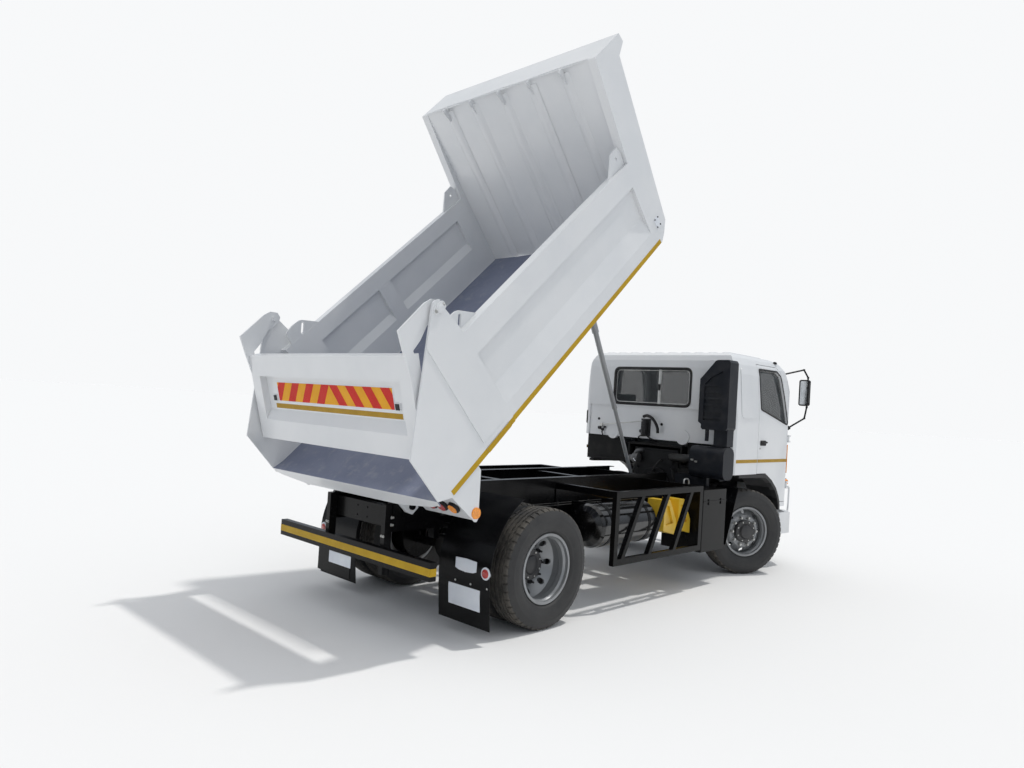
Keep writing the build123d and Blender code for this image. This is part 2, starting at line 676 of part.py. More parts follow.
def round_tank():
    """The round tank with its dished ends, and the two arms that hold it to the rail."""
    x0, x1 = AIR_TANK_X
    r = AIR_TANK_R
    half = [(0, x0), (r - 70, x0 + 4), (r - 18, x0 + 34), (r, x0 + 70)]
    section = [*half, *[(radius, x0 + x1 - place) for radius, place in half[::-1]]]
    tank = Pos(0, AIR_TANK_Y, AIR_TANK_Z) * Rot(0, 0, -90) * turned(section)
    third = (x1 - x0) / 4
    arms = [
        block((ax - 25, ax + 25), (AIR_TANK_Y + r - 40, -RAIL_OUT_Y), (AIR_TANK_Z + 30, RAIL_TOP_Z - 80))
        for ax in (x0 + third, x1 - third)
    ]
    return [tank, *arms]


def make_chocks():
    low, high = CHOCK_Z
    outline = [(0, low + 60), (0, high), (CHOCK_L * 0.42, high), (CHOCK_L, low + 150), (CHOCK_L, low)]
    bay = [(45, low + 110), (45, high - 60), (CHOCK_L * 0.36, high - 60), (CHOCK_L - 60, low + 130)]
    pieces = []
    for x in CHOCK_XS:
        wedge = side_plate([(x + dx, z) for dx, z in outline], CHOCK_Y)
        for y in (CHOCK_Y[0] - 1, CHOCK_Y[1] - 25):
            wedge = wedge - side_plate([(x + dx, z) for dx, z in bay], (y, y + 26))
        pieces.append(wedge)
    carrier = block(
        (CHOCK_XS[0] - 20, CHOCK_XS[-1] + CHOCK_L), (CHOCK_Y[1] - 30, -RAIL_OUT_Y), (low + 190, low + 260))
    save("wheel_chocks", joined([*pieces, carrier]))


def square_tube(start, end, size):
    """A square tube between two points of a side view, as a corner-to-corner strip."""
    ux, uz = unit(end[0] - start[0], end[1] - start[1])
    nx, nz = -uz * size / 2, ux * size / 2
    return [
        (start[0] - nx, start[1] - nz), (end[0] - nx, end[1] - nz),
        (end[0] + nx, end[1] + nz), (start[0] + nx, start[1] + nz),
    ]


def ring(outer, inner, y):
    """A flat frame between two rectangles of a side view."""
    corners = [
        [(x[0], z[0]), (x[0], z[1]), (x[1], z[1]), (x[1], z[0])] for x, z in (outer, inner)
    ]
    return side_plate(corners[0], y) - side_plate(corners[1], y)


def make_side_guards():
    """Two guards of angle iron: a frame, three slanted bars, and arms to the rails."""
    x0, x1 = GUARD_X
    z0, z1 = GUARD_Z
    wide, sheet = GUARD_TUBE, GUARD_SHEET
    face = (-GUARD_Y, -GUARD_Y + sheet)
    deep = (-GUARD_Y, -GUARD_Y + GUARD_ANGLE)
    pieces = [
        ring(((x0, x1), (z0, z1)), ((x0 + wide, x1 - wide), (z0 + wide, z1 - wide)), face),
        block((x0, x1), deep, (z1 - sheet, z1)),
        block((x0, x1), deep, (z0 + wide - sheet, z0 + wide)),
        block((x0, x0 + sheet), deep, (z0, z1)),
        block((x1 - sheet, x1), deep, (z0, z1)),
    ]
    for index in range(GUARD_SLANTS):
        foot = x0 + (x1 - x0) * (GUARD_FOOT + GUARD_STEP * index)
        ends = ((foot, z0 + wide / 2), (foot + GUARD_LEAN, z1 - wide / 2))
        pieces.append(side_plate(square_tube(*ends, wide * 0.8), face))
        edge = [(x - wide * 0.4 * 0.9, z) for x, z in ends]
        pieces.append(side_plate(square_tube(*edge, sheet), deep))
    for ax in (x0, x1 - wide):
        pieces.append(block((ax, ax + wide), (-GUARD_Y + sheet - 1, -RAIL_OUT_Y), (z1 - sheet, z1)))
        pieces.append(block((ax, ax + sheet), (-GUARD_Y + sheet - 1, -RAIL_OUT_Y), (z1 - wide, z1)))
        pieces.append(block((ax, ax + wide), (-RAIL_OUT_Y - 12, -RAIL_OUT_Y), (RAIL_TOP_Z - 150, z1)))
    save("side_guards", on_both_sides(joined(pieces)))


def arc_guard(centre_x, radius, thickness, angles, y):
    """A strip of sheet bent round a wheel, between two angles from straight back."""
    outer = [polar(centre_x, radius + thickness, a) for a in angles]
    inner = [polar(centre_x, radius, a) for a in angles]
    far = ThreePointArc(*[(px, y[0], pz) for px, pz in outer])
    near = ThreePointArc(*[(px, y[0], pz) for px, pz in inner])
    face = make_face([far, near, Line(far @ 0, near @ 0), Line(far @ 1, near @ 1)])
    return extrude(face, amount=y[1] - y[0], dir=(0, 1, 0))


def polar(centre_x, radius, degrees):
    """A point round the axle, in side view, by its angle up from straight back."""
    angle = math.radians(degrees)
    return (centre_x - radius * math.cos(angle), TYRE_R + radius * math.sin(angle))


def make_mudguards():
    y = (-REAR_GUARD_Y[1], -REAR_GUARD_Y[0])
    bend = polar(0, REAR_GUARD_R, -8)
    fold = REAR_FLAP_Z + 260
    flap = side_plate(
        [bend, (bend[0] + GUARD_SHEET + 2, bend[1]), (bend[0] + GUARD_SHEET, fold),
         (bend[0] + 24 + GUARD_SHEET, REAR_FLAP_Z), (bend[0] + 24, REAR_FLAP_Z), (bend[0], fold)], y)
    hood = arc_guard(0, REAR_GUARD_R - GUARD_SHEET, GUARD_SHEET, (-9, 26, 58), y)
    stays = []
    for angle in (27, 39):
        sx, sz = polar(0, REAR_GUARD_R - 2, angle)
        stays.append(block((sx - 20, sx + 20), (y[1] - 10, -RAIL_OUT_Y), (sz - 20, sz + 20)))
    rear = joined([flap, hood, *stays])
    fy = (-FRONT_FLAP_Y[1], -FRONT_FLAP_Y[0])
    front = side_plate(bent_outline(FRONT_FLAP, GUARD_SHEET), fy)
    bracket_x = FRONT_FLAP[2][0] - 30
    stay = block((bracket_x - 22, bracket_x + 22), (fy[1] - 8, -RAIL_OUT_Y), (960, 1000))
    save("mudguards", on_both_sides(rear), on_both_sides(joined([front, stay])))


def make_rear_bumper():
    x = (REAR_BAR_X - 60, REAR_BAR_X)
    bar_piece = block(x, (-REAR_BAR_HALF, REAR_BAR_HALF), REAR_BAR_Z)
    posts = [
        block((REAR_BAR_X - 2, REAR_BAR_X + 68), sorted((side * 375, side * 425)), (450, RAIL_TOP_Z))
        for side in (-1, 1)
    ]
    ties = [
        block((REAR_BAR_X + 60, FRAME_REAR_X + 80), sorted((side * 425, side * 437)), (820, RAIL_TOP_Z))
        for side in (-1, 1)
    ]
    plate = block((REAR_BAR_X - 52, REAR_BAR_X - 44), (-50, 430), (350, REAR_BAR_Z[0] + 10))
    save("rear_bumper", joined([bar_piece, *posts, *ties, plate]))


def make_front_bumper():
    outline = [(FRONT_BUMPER_X - 480, -1110), (FRONT_BUMPER_X - 200, -1125), (FRONT_BUMPER_X - 40, -980),
               (FRONT_BUMPER_X, -560), (FRONT_BUMPER_X, 560), (FRONT_BUMPER_X - 40, 980),
               (FRONT_BUMPER_X - 200, 1125), (FRONT_BUMPER_X - 480, 1110)]
    skin = plan_plate(outline, FRONT_BUMPER_Z)
    hollow = plan_plate(
        [(FRONT_BUMPER_X - 500, -1060), (FRONT_BUMPER_X - 220, -1065), (FRONT_BUMPER_X - 90, -940),
         (FRONT_BUMPER_X - 60, -540), (FRONT_BUMPER_X - 60, 540), (FRONT_BUMPER_X - 90, 940),
         (FRONT_BUMPER_X - 220, 1065), (FRONT_BUMPER_X - 500, 1060)],
        (FRONT_BUMPER_Z[0] - 10, FRONT_BUMPER_Z[1] + 10))
    horns = [
        block((FRAME_FRONT_X, FRONT_BUMPER_X - 55), sorted((side * 360, side * 420)),
              (FRONT_BUMPER_Z[0] + 60, FRONT_BUMPER_Z[1] - 40))
        for side in (-1, 1)
    ]
    hangers = [
        block((FRAME_FRONT_X - 120, FRAME_FRONT_X + 60), sorted((side * 360, side * 420)),
              (FRONT_BUMPER_Z[0] + 60, RAIL_TOP_Z - RAIL_HEIGHT))
        for side in (-1, 1)
    ]
    save("front_bumper", joined([skin - hollow, *horns, *hangers]))


def make_air_cleaner():
    x, y, z = CLEANER_X, CLEANER_Y, CLEANER_Z
    drum = fillet(block(x, y, z).edges().filter_by(Axis.Y), 90)
    leg = block((x[0] + 150, x[1] - 40), (y[1] - 160, -RAIL_OUT_Y), (RAIL_TOP_Z - 60, z[0] + 10))
    save("air_cleaner", joined([drum, leg]))


# Bin

def make_bed_floor():
    half = BED_OUT_Y - BED_WALL
    floor = block((0, BED_FRONT_X), (-half, half), (FLOOR_Z, FLOOR_Z + FLOOR_T))
    tail_half = BED_OUT_Y - DOUBLER_T
    tail = side_plate(
        bent_outline([(WALL_REAR_LOW_X - 4, FLOOR_Z + FLOOR_T), (0, FLOOR_Z + FLOOR_T),
                      (TAIL_X, FLOOR_Z + FLOOR_T + 20), (TAIL_X, FLOOR_Z - 20)], FLOOR_T),
        (-tail_half, tail_half))
    save("bed_floor", joined([tip(floor), tip(tail)]))


def make_bed_sides():
    inner, outer = BED_OUT_Y - BED_WALL, BED_OUT_Y
    sheet_out = inner + BED_WALL / 2 + BED_SHEET / 2
    sheet_in = sheet_out - BED_SHEET
    wall = side_plate(
        [(WALL_REAR_LOW_X, 0), (WALL_REAR_LOW_X, FLOOR_Z), (WALL_REAR_TOP_X, RAIL_Z),
         (BED_FRONT_X - 43, RAIL_Z), (BED_FRONT_X, RAIL_Z - 60), (BED_FRONT_X, 0)], (-outer, -inner))
    outside = front_plate(
        [(-outer - 5, BAND_Z - 14), (-sheet_out, BAY_OUT_LOW_Z), (-sheet_out, BAY_OUT_TOP_Z),
         (-outer - 5, BAY_OUT_TOP_Z)], BAY_OUT_X)
    inside = [
        front_plate(
            [(-inner + 5, BAY_IN_FOOT_Z - 8), (-sheet_in, BAY_IN_LOW_Z), (-sheet_in, BAY_IN_TOP_Z),
             (-inner + 5, BAY_IN_TOP_Z)], bay)
        for bay in INNER_BAYS
    ]
    wall = wall - outside
    for bay in inside:
        wall = wall - bay
    ear_outline = ear_points()
    tail_ear = side_plate(ear_outline, (-outer - EAR_T, -outer + DOUBLER_T))
    strip = block((DOUBLER_X, EAR_FRONT_X + 1), (-outer - EAR_T - DOUBLER_T, -outer + 1), (100, 1300))
    doubler = side_plate(ear_outline, (-outer - EAR_T - DOUBLER_T, -outer - EAR_T)) & strip
    boss = across(GATE_PIN_X, GATE_PIN_Z, 38, (-outer - EAR_T - DOUBLER_T - 16, -outer - EAR_T))
    pin = across(GATE_PIN_X, GATE_PIN_Z, GATE_PIN_R, (-outer - EAR_T, -GATE_HALF + GATE_ARM_T + 14))
    lamp_side = side_plate(
        [(0, 2), (LAMP_TIP[0] - 12, LAMP_TIP[1] + 14), LAMP_TIP, (LAMP_TIP[0] + 30, LAMP_TIP[1] + 6),
         (340, -50), (340, 2)], (-outer, -outer + 10))
    rear_lug = lug(REAR_LUG, -inner - LUG_T / 2 - 2, REAR_SLOT)
    front_lug = lug(FRONT_LUG, -(inner + outer) / 2, [FRONT_HOLE])
    body = joined([wall, tail_ear, doubler, boss, pin, lamp_side, rear_lug, front_lug])
    save("bed_sides", [tip(side) for side in on_both_sides(body)])


def ear_points():
    """The outline of the plate that carries the gate's pin, with a rounded top."""
    top = [
        (GATE_PIN_X + EAR_TOP_R * math.cos(math.radians(a)),
         GATE_PIN_Z + EAR_TOP_R * math.sin(math.radians(a)))
        for a in (50, 80, 110, 140)
    ]
    return [(0, 0), (TAIL_X, 70), (TAIL_X, EAR_KINK_Z), *top[::-1], (EAR_FRONT_X, GATE_PIN_Z),
            (EAR_FRONT_X + 60, RAIL_Z - 60), (EAR_FRONT_X + 60, 0)]


def lug(outline, y, holes):
    """A lashing eye on the top rail of the right wall; two holes are the ends of one slot."""
    ys = (y - LUG_T / 2, y + LUG_T / 2)
    plate = side_plate(outline, ys)
    for x, z in holes:
        plate = plate - across(x, z, LUG_HOLE_R, (y - LUG_T, y + LUG_T))
    if len(holes) == 2:
        plate = plate - side_plate(strip_between(*holes, LUG_HOLE_R), (y - LUG_T, y + LUG_T))
    return plate


def strip_between(start, end, half):
    """The corners of a strip from one point to another."""
    dx, dz = unit(end[0] - start[0], end[1] - start[1])
    return [
        (x - side * dz * half, z + side * dx * half)
        for (x, z), side in ((start, 1), (end, 1), (end, -1), (start, -1))
    ]


def make_headboard():
    inner, outer = BED_OUT_Y - BED_WALL, BED_OUT_Y
    step = 2 * inner / HEAD_PANELS
    ys = [-inner + step * index for index in range(HEAD_PANELS + 1)]
    folds = [0 if index % 2 == 0 else HEAD_FOLD for index in range(HEAD_PANELS + 1)]
    near = [(BED_FRONT_X + fold, y, FLOOR_Z) for fold, y in zip(folds, ys)]
    end_y = inner + HEAD_INTO_WING
    near = [(BED_FRONT_X, -end_y, FLOOR_Z), *near, (BED_FRONT_X, end_y, FLOOR_Z)]
    far = [(x + HEAD_SHEET, y, z) for x, y, z in near]
    face = make_face(Polyline(*near, *far[::-1], close=True))
    rise = HEAD_TOP_Z - FLOOR_Z
    sheet = extrude(face, amount=math.hypot(rise, HEAD_LEAN), dir=(HEAD_LEAN, 0, rise))
    cap_line = [(BED_FRONT_X + x, z) for x, z in CAP_LINE]
    wing = side_plate(
        [(BED_FRONT_X, 0), (BED_FRONT_X + 20, 0), (BED_FRONT_X + 100, 50), (BED_FRONT_X + 200, 145),
         *cap_line, (BED_FRONT_X - 43, RAIL_Z),
         (BED_FRONT_X, RAIL_Z - 60)], (-outer, -inner))
    cap = side_plate(bent_outline(cap_line, HEAD_SHEET), (-outer, outer))
    gussets = [
        side_plate([(BED_FRONT_X + 52, HEAD_TOP_Z - 150), (BED_FRONT_X + 86, HEAD_TOP_Z - 150),
                    (BED_FRONT_X + 86, HEAD_TOP_Z - 4), (BED_FRONT_X + 12, HEAD_TOP_Z - 12)], (y - 5, y + 5))
        for y in GUSSET_YS
    ]
    posts = [
        side_plate([(BED_FRONT_X + 14, 60), (BED_FRONT_X + 90, 60), (BED_FRONT_X + 150, HOIST_TOP_Z - 200),
                    (HOIST_TOP_X + 30, HOIST_TOP_Z - 50), (HOIST_TOP_X + 50, HOIST_TOP_Z + 50),
                    (HOIST_TOP_X - 90, HOIST_TOP_Z + 240), (BED_FRONT_X + 100, HEAD_TOP_Z - 30)],
                   (y - 7, y + 7))
        for y in (-HOIST_EAR_Y, HOIST_EAR_Y)
    ]
    pin = across(HOIST_TOP_X, HOIST_TOP_Z, HOIST_PIN_R, (-HOIST_EAR_Y - 20, HOIST_EAR_Y + 20))
    save("headboard", tip(joined([sheet, *on_both_sides(wing), cap, *gussets, *posts, pin])))


def make_underframe():
    beams = [
        block((BED_BEAM_REAR, BED_FRONT_X - 20), sorted((side * BED_BEAM_Y[0], side * BED_BEAM_Y[1])),
              (BED_BEAM_Z, FLOOR_Z))
        for side in (-1, 1)
    ]
    count, first, last = BEARER_COUNT, BED_BEAM_REAR + 30, BED_FRONT_X - 60
    inner = BED_OUT_Y - BED_WALL
    for index in range(count):
        x = first + (last - first) * index / (count - 1)
        beams.append(block((x - 30, x + 30), (-inner, inner), (FLOOR_Z - 55, FLOOR_Z)))
    for side in (-1, 1):
        y = sorted((side * PIVOT_LUG_Y, side * (PIVOT_LUG_Y + PIVOT_LUG_T)))
        plate = side_plate(
            [(PIVOT_IN_BED_X - 70, PIVOT_IN_BED_Z), (PIVOT_IN_BED_X - 40, PIVOT_IN_BED_Z - 56),
             (PIVOT_IN_BED_X + 40, PIVOT_IN_BED_Z - 56), (PIVOT_IN_BED_X + 70, PIVOT_IN_BED_Z),
             (PIVOT_IN_BED_X + 180, FLOOR_Z - 20), (PIVOT_IN_BED_X - 90, FLOOR_Z - 20)], y)
        beams.append(plate - across(PIVOT_IN_BED_X, PIVOT_IN_BED_Z, PIVOT_R + 0.6, (y[0] - 5, y[1] + 5)))
        tie = block((BED_BEAM_REAR, PIVOT_IN_BED_X + 170), sorted((side * BED_BEAM_Y[1], side * PIVOT_LUG_Y)),
                    (FLOOR_Z - 90, FLOOR_Z - 20))
        beams.append(tie)
    boards = [
        side_plate(
            [(4, FLOOR_Z), (LAMP_TIP[0] + 4, LAMP_TIP[1] + 10), (LAMP_TIP[0] + 14, LAMP_TIP[1] + 10),
             (16, FLOOR_Z)], sorted((side * LAMP_BOARD_Y[0], side * LAMP_BOARD_Y[1])))
        for side in (-1, 1)
    ]
    save("bed_underframe", tip(joined([*beams, *boards])))


def make_lamps():
    """Round lamps on the boards below the tail, and a reflector on each side plate."""
    amber, red = [], []
    lean = LAMP_TIP[0] / (FLOOR_Z - LAMP_TIP[1] - 10)
    x = 4 + (FLOOR_Z - LAMP_Z) * lean
    for side in (-1, 1):
        for index, y in enumerate(LAMP_YS):
            lamp = along(side * y, LAMP_Z, LAMP_R, (x - 34, x - 1))
            (amber if index == 0 else red).append(tip(lamp - board_cut()))
        reflector_y = sorted((side * BED_OUT_Y, side * (BED_OUT_Y + 9)))
        amber.append(tip(across(98, -272, LAMP_R - 2, reflector_y)))
    save("lamps_amber", amber)
    save("lamps_red", red)


def board_cut():
    """Everything on and in front of the lamp board's rear face."""
    foot = LAMP_TIP[1] - 90
    return side_plate(
        [(4, FLOOR_Z + 60), (4, FLOOR_Z), (LAMP_TIP[0] + 4, LAMP_TIP[1] + 10), (LAMP_TIP[0] + 24, foot),
         (400, foot), (400, FLOOR_Z + 60)], (-1300, 1300))


# Gate

def gate_frame(u, v):
    """A point of the hanging gate, by its distance down the face and out from it."""
    ux, uz = unit(GATE_FOOT[0] - GATE_TOP[0], GATE_FOOT[1] - GATE_TOP[1])
    pin = tipped_point(GATE_PIN_X, GATE_PIN_Z)
    return (pin[0] + GATE_TOP[0] + ux * u + uz * v, pin[1] + GATE_TOP[1] + uz * u - ux * v)


def make_gate():
    height = math.hypot(GATE_FOOT[0] - GATE_TOP[0], GATE_FOOT[1] - GATE_TOP[1])
    deep = -GATE_DEPTH
    outline = [
        (0, 0), (GATE_BAY[0], 0), (GATE_BAY[0], GATE_BAY_V), (GATE_BAY[1], GATE_BAY_V),
        (GATE_BAY[1] + 88, 0), (height, 0), (height, deep), (GATE_BAY[1] + 88, deep),
        (GATE_BAY[1], GATE_BAY_V - 14), (GATE_BAY[0], GATE_BAY_V - 14), (GATE_BAY[0], deep), (0, deep),
    ]
    body_half = GATE_HALF - GATE_ARM_T
    body = side_plate([gate_frame(u, v) for u, v in outline], (-body_half, body_half))
    ends = [
        side_plate([gate_frame(u, v) for u, v in
                    ((0, 0), (height, 0), (height, deep), (0, deep))],
                   sorted((side * (GATE_HALF - 140), side * body_half)))
        for side in (-1, 1)
    ]
    pin = tipped_point(GATE_PIN_X, GATE_PIN_Z)
    arm = side_plate([(pin[0] + x, pin[1] + z) for x, z in ARM], (-GATE_HALF, -GATE_HALF + GATE_ARM_T))
    hole = across(pin[0], pin[1], GATE_PIN_R + 0.6, (-GATE_HALF - 5, -GATE_HALF + GATE_ARM_T + 5))
    end_plate = side_plate(
        [gate_frame(u, v) for u, v in ((0, 0), (height, 0), (height, deep), (0, deep))],
        (-GATE_HALF, -GATE_HALF + GATE_ARM_T))
    arms = on_both_sides(joined([arm, end_plate]) - hole)
    save("tailgate", joined([body, *ends, *arms]))


# Hoist

def make_hoist():
    top = tipped_point(HOIST_TOP_X, HOIST_TOP_Z)
    length = math.hypot(HOIST_BASE_X - top[0], HOIST_BASE_Z - top[1])
    ux, uz = (HOIST_BASE_X - top[0]) / length, (HOIST_BASE_Z - top[1]) / length

    def place(distance):
        return (top[0] + ux * distance, 0, top[1] + uz * distance)

    eye = across(top[0], top[1], HOIST_PIN_R + 26, (-HOIST_EAR_Y + 14, HOIST_EAR_Y - 14))
    eye = eye - across(top[0], top[1], HOIST_PIN_R + 0.6, (-HOIST_EAR_Y, HOIST_EAR_Y))
    barrel = bar(place(30), place(30 + STAGE_L), STAGE_R[0]) - bar(
        place(90), place(40 + STAGE_L), STAGE_R[1] + SLEEVE_GAP)
    barrel = joined([barrel, eye]) - across(top[0], top[1], HOIST_PIN_R + 0.6, (-80, 80))
    save("hoist_barrel", barrel)
    reach = (length - 30 - STAGE_L) / 3
    names = ("hoist_stage_1", "hoist_stage_2", "hoist_rod")
    for index, name in enumerate(names):
        end = 30 + STAGE_L + reach * (index + 1)
        start = end - reach - STAGE_OVERLAP
        tube = bar(place(start), place(end), STAGE_R[index + 1])
        if index < 2:
            bore = bar(place(start + 12), place(end + 5), STAGE_R[index + 2] + SLEEVE_GAP)
            save(name, tube - bore)
        else:
            rod = bar(place(start), place(end - 26), STAGE_R[3])
            knuckle = across(HOIST_BASE_X, HOIST_BASE_Z, 42, (-40, 40))
            stub = across(HOIST_BASE_X, HOIST_BASE_Z, HOIST_PIN_R, (-52, 52))
            save(name, joined([rod, knuckle, stub]))


# Cab

def cab_solid(shrink):
    """The outer form of the cab, or that form made smaller by one value all round."""
    s = shrink
    rear, front, top, half = CAB_REAR_X + s, CAB_FRONT_X - s, CAB_TOP_Z - s, CAB_HALF - s
    side = side_plate(
        [(rear, 600), (rear, top - 200), (rear + 12, top - 110), (rear + 44, top - 44),
         (rear + 110, top - 10), (rear + 220, top), (350, top), (580 - s, top - 26), (700 - s, top - 75),
         (800 - s, top - 160),
         (front - 20, BELT_Z - 60), (front, 1400), (front, 600)], (-1300, 1300))
    plan = plan_plate(
        [(rear, -half + 66), (rear + 20, -half + 22), (rear + 66, -half), (820, -half), (910 - s, -half + 40),
         (1000 - s, -half + 190), (front - 20, -half + 560), (front, 0), (front - 20, half - 560),
         (1000 - s, half - 190), (910 - s, half - 40), (820, half), (rear + 66, half),
         (rear + 20, half - 22), (rear, half - 66)], (600, 2800))
    front_view = front_plate(
        [(-half, 600), (-half, 1900), (-half + 42, top - 260), (-half + 66, top - 140),
         (-half + 104, top - 60), (-half + 164, top - 14), (-half + 250, top), (half - 250, top), (half - 164, top - 14),
         (half - 104, top - 60), (half - 66, top - 140), (half - 42, top - 260), (half, 1900), (half, 600)],
        (-900, 1400))
    return side & plan & front_view


def rounded_opening(points, radius, plane_point, normal, depth):
    """A prism with rounded corners that cuts a window: (u, z) points pushed through the wall."""
    along_x = normal == "x"
    start = [((plane_point, u, z) if along_x else (u, plane_point, z)) for u, z in points]
    face = make_face(Polyline(*start, close=True))
    face = fillet(face.vertices(), radius)
    return extrude(face, amount=depth, dir=(1, 0, 0) if along_x else (0, 1, 0))


def wall_tabs():
    """The two round tabs that hang from the lower edge of the cab's rear wall."""
    tabs = []
    for y in WALL_TABS:
        tabs.append(along(y, WALL_TAB_Z, WALL_TAB_R, (CAB_REAR_X + 2, CAB_REAR_X + CAB_SKIN - 5)))
    return tabs


def make_cab():
    shell = cab_solid(0) - cab_solid(CAB_SKIN)
    shell = shell - side_plate(
        [(-900, 500), (-900, CAB_SILL_Z), *WHEEL_ARCH, (1300, CAB_BOTTOM_Z), (1300, 500)], (-1300, 1300))
    inner = CAB_HALF - CAB_SKIN
    shell = shell - block((-900, CAB_REAR_X + 130), (-inner, CAB_HALF + 20), (1000, CAB_WALL_Z))
    shell = shell - block((-900, CAB_REAR_X + CAB_CREASE), (-inner + 40, inner - 40), (1000, CAB_CREASE_Z))
    door_side = block((-900, 1400), (-900, 900), (0, 3000))
    shell = shell - (side_plate(DOOR_HOLE, (-1300, 1300)) - door_side)
    screen = rounded_opening(WINDSCREEN, WINDSCREEN_R, 560, "x", 800)
    rear_light = rounded_opening(REAR_WINDOW, REAR_WINDOW_R, CAB_REAR_X - 60, "x", 200)
    eaves = CAB_TOP_Z - 130
    header_x = 540
    roof_box = block((-900, 740), (-1300, 1300), (eaves, 2800))
    rear_box = block((-900, DOOR_REAR_X), (-1300, 1300), (600, eaves))
    front_box = block((header_x, 1400), (-1300, 1300), (600, 2800)) - roof_box
    header = shell & (block((DOOR_REAR_X, header_x), (-1300, 1300), (600, eaves)))
    rear = joined([(shell & rear_box) - rear_light, *wall_tabs()])
    panel = rounded_opening(
        [(x, z) for x in CORNER_PANEL_X for z in CORNER_PANEL_Z[::1 if x < CORNER_PANEL_X[1] else -1]],
        60, -1300, "y", 2600)
    rear = joined([rear, *((cab_solid(-CORNER_PANEL_RISE) - cab_solid(2)) & panel).solids()])
    front = (shell & front_box) - screen
    for z in DOOR_HINGE_ZS:
        for room in on_both_sides(Pos(*DOOR_AXIS, z) * Box(3.6 * HINGE_R, 3.6 * HINGE_R, HINGE_LENGTH + 2)):
            front = front - room
        front = joined([front, *on_both_sides(cab_knuckles(z))])
    save_cab("cab_roof", joined([shell & roof_box, header]))
    save_cab("cab_rear", rear)
    save_cab("cab_front", front)
    pane = CAB_SKIN * 0.4
    glass_shell = cab_solid(pane) - cab_solid(pane + 6)
    save_cab("cab_glass", glass_shell & screen, glass_shell & rear_light)
    save_cab("cab_floor", make_floor())


def save_cab(name, *shapes):
    """Write one node that was drawn in the cab's frame."""
    save(name, *[[Pos(WHEELBASE, 0, 0) * piece for piece in (item if isinstance(item, list) else [item])]
                 for item in shapes])


def floor_room():
    """The room inside the cab that a piece may fill from door to door without touching a door."""
    middle = block((-900, 1400), (-900, 900), (0, 3000))
    return cab_solid(DOOR_T + CLEAR) + (cab_solid(CAB_SKIN) & middle)


def make_floor():
    half = CAB_HALF - DOOR_T - CLEAR
    rear = CAB_REAR_X + CAB_SKIN
    sheet = side_plate(
        bent_outline([(rear, CAB_SILL_Z + 20), (500, CAB_SILL_Z + 20), (660, 1030), (CAB_FRONT_X, 1030)], 28),
        (-half, half))
    sheet = sheet & floor_room()
    tunnel_out = block((rear, 630), (-TUNNEL_HALF, TUNNEL_HALF), (CAB_SILL_Z, TUNNEL_Z))
    tunnel_in = block((rear - 100, 600), (-TUNNEL_HALF + 25, TUNNEL_HALF - 25), (900, TUNNEL_Z - 25))
    x, z = CAB_HINGE_X, CAB_HINGE_Z
    leg = side_plate(
        [(x - 80, 1045), (x - 60, z + 20), (x - 30, z - 34), (x + 30, z - 34), (x + 45, z), (x + 45, 1045)],
        (-HINGE_PLATE_Y + 10, -HINGE_PLATE_Y + 50))
    floor = joined([joined([sheet, tunnel_out]) - tunnel_in, *on_both_sides(leg)])
    return floor - across(x, z, CAB_PIN_R + 0.6, (-500, 500))


def door_knuckle(z):
    """The door's half of one hinge."""
    x, y = DOOR_AXIS
    barrel = Pos(x, y, z) * Box(2 * HINGE_R, 2 * HINGE_R, HINGE_LENGTH)
    strap = block((x - 46, x - 6), (y - 4, y + 9), (z - HINGE_LENGTH / 2, z + HINGE_LENGTH / 2))
    return joined([barrel, strap]) - Pos(x, y, z) * Cylinder(HINGE_PIN_R + STUB_GAP, HINGE_LENGTH + 4)


def cab_knuckles(z):
    """The cab's half of one right-hand hinge: a pin between two lugs on the front panel."""
    x, y = DOOR_AXIS
    pieces = [Pos(x, y, z) * Cylinder(HINGE_PIN_R, HINGE_LENGTH + 44)]
    for end in (z - HINGE_LUG_DZ, z + HINGE_LUG_DZ):
        pieces.append(block((x - HINGE_R, x + 48), (y - HINGE_R, y + 34), (end - 10, end + 10)))
    return joined(pieces)


def make_doors():
    shell = cab_solid(0) - cab_solid(DOOR_T)
    leaf = side_plate(DOOR_LEAF, (-1300, -900))
    window = rounded_opening(DOOR_WINDOW, DOOR_WINDOW_R, -1300, "y", 400)
    door = (shell & leaf) - window
    door = door - block((-100, 900), (-CAB_HALF + DOOR_T, -800), (600, BELT_Z - 20))
    for z in DOOR_HINGE_ZS:
        for lug_z in (z - HINGE_LUG_DZ, z + HINGE_LUG_DZ):
            door = door - Pos(*DOOR_AXIS, lug_z) * Box(4 * HINGE_R, 6 * HINGE_R, HINGE_LUG_DZ - 12)
        door = joined([door, door_knuckle(z)])
    glass = (cab_solid(22) - cab_solid(27)) & window
    save_cab("door_right", door)
    save_cab("door_left", mirror(door, about=Plane.XZ))
    save_cab("door_glass_right", glass)
    save_cab("door_glass_left", mirror(glass, about=Plane.XZ))


def front_skin(depth, y, z):
    """A piece that lies on the outside of the cab's front and follows its curve."""
    return (cab_solid(-depth) - cab_solid(0)) & block((600, 1400), y, z)


def make_front_trim():
    grille = front_skin(16, (-GRILLE_HALF, GRILLE_HALF), GRILLE_Z)
    pitch = (GRILLE_Z[1] - GRILLE_Z[0] - 40) / GRILLE_SLOTS
    for index in range(GRILLE_SLOTS):
        low = GRILLE_Z[0] + 40 + pitch * index
        grille = grille - block((600, 1400), (-GRILLE_HALF + 40, GRILLE_HALF - 40), (low, low + pitch - 40))
    save_cab("grille", grille)
    lamp = front_skin(12, HEADLAMP_Y, HEADLAMP_Z)
    save_cab("headlamps", on_both_sides(lamp))
    corner = (cab_solid(-9) - cab_solid(0)) & block((900, 990), (-1300, -900), CORNER_LAMP_Z)
    save_cab("corner_lamps", on_both_sides(corner))


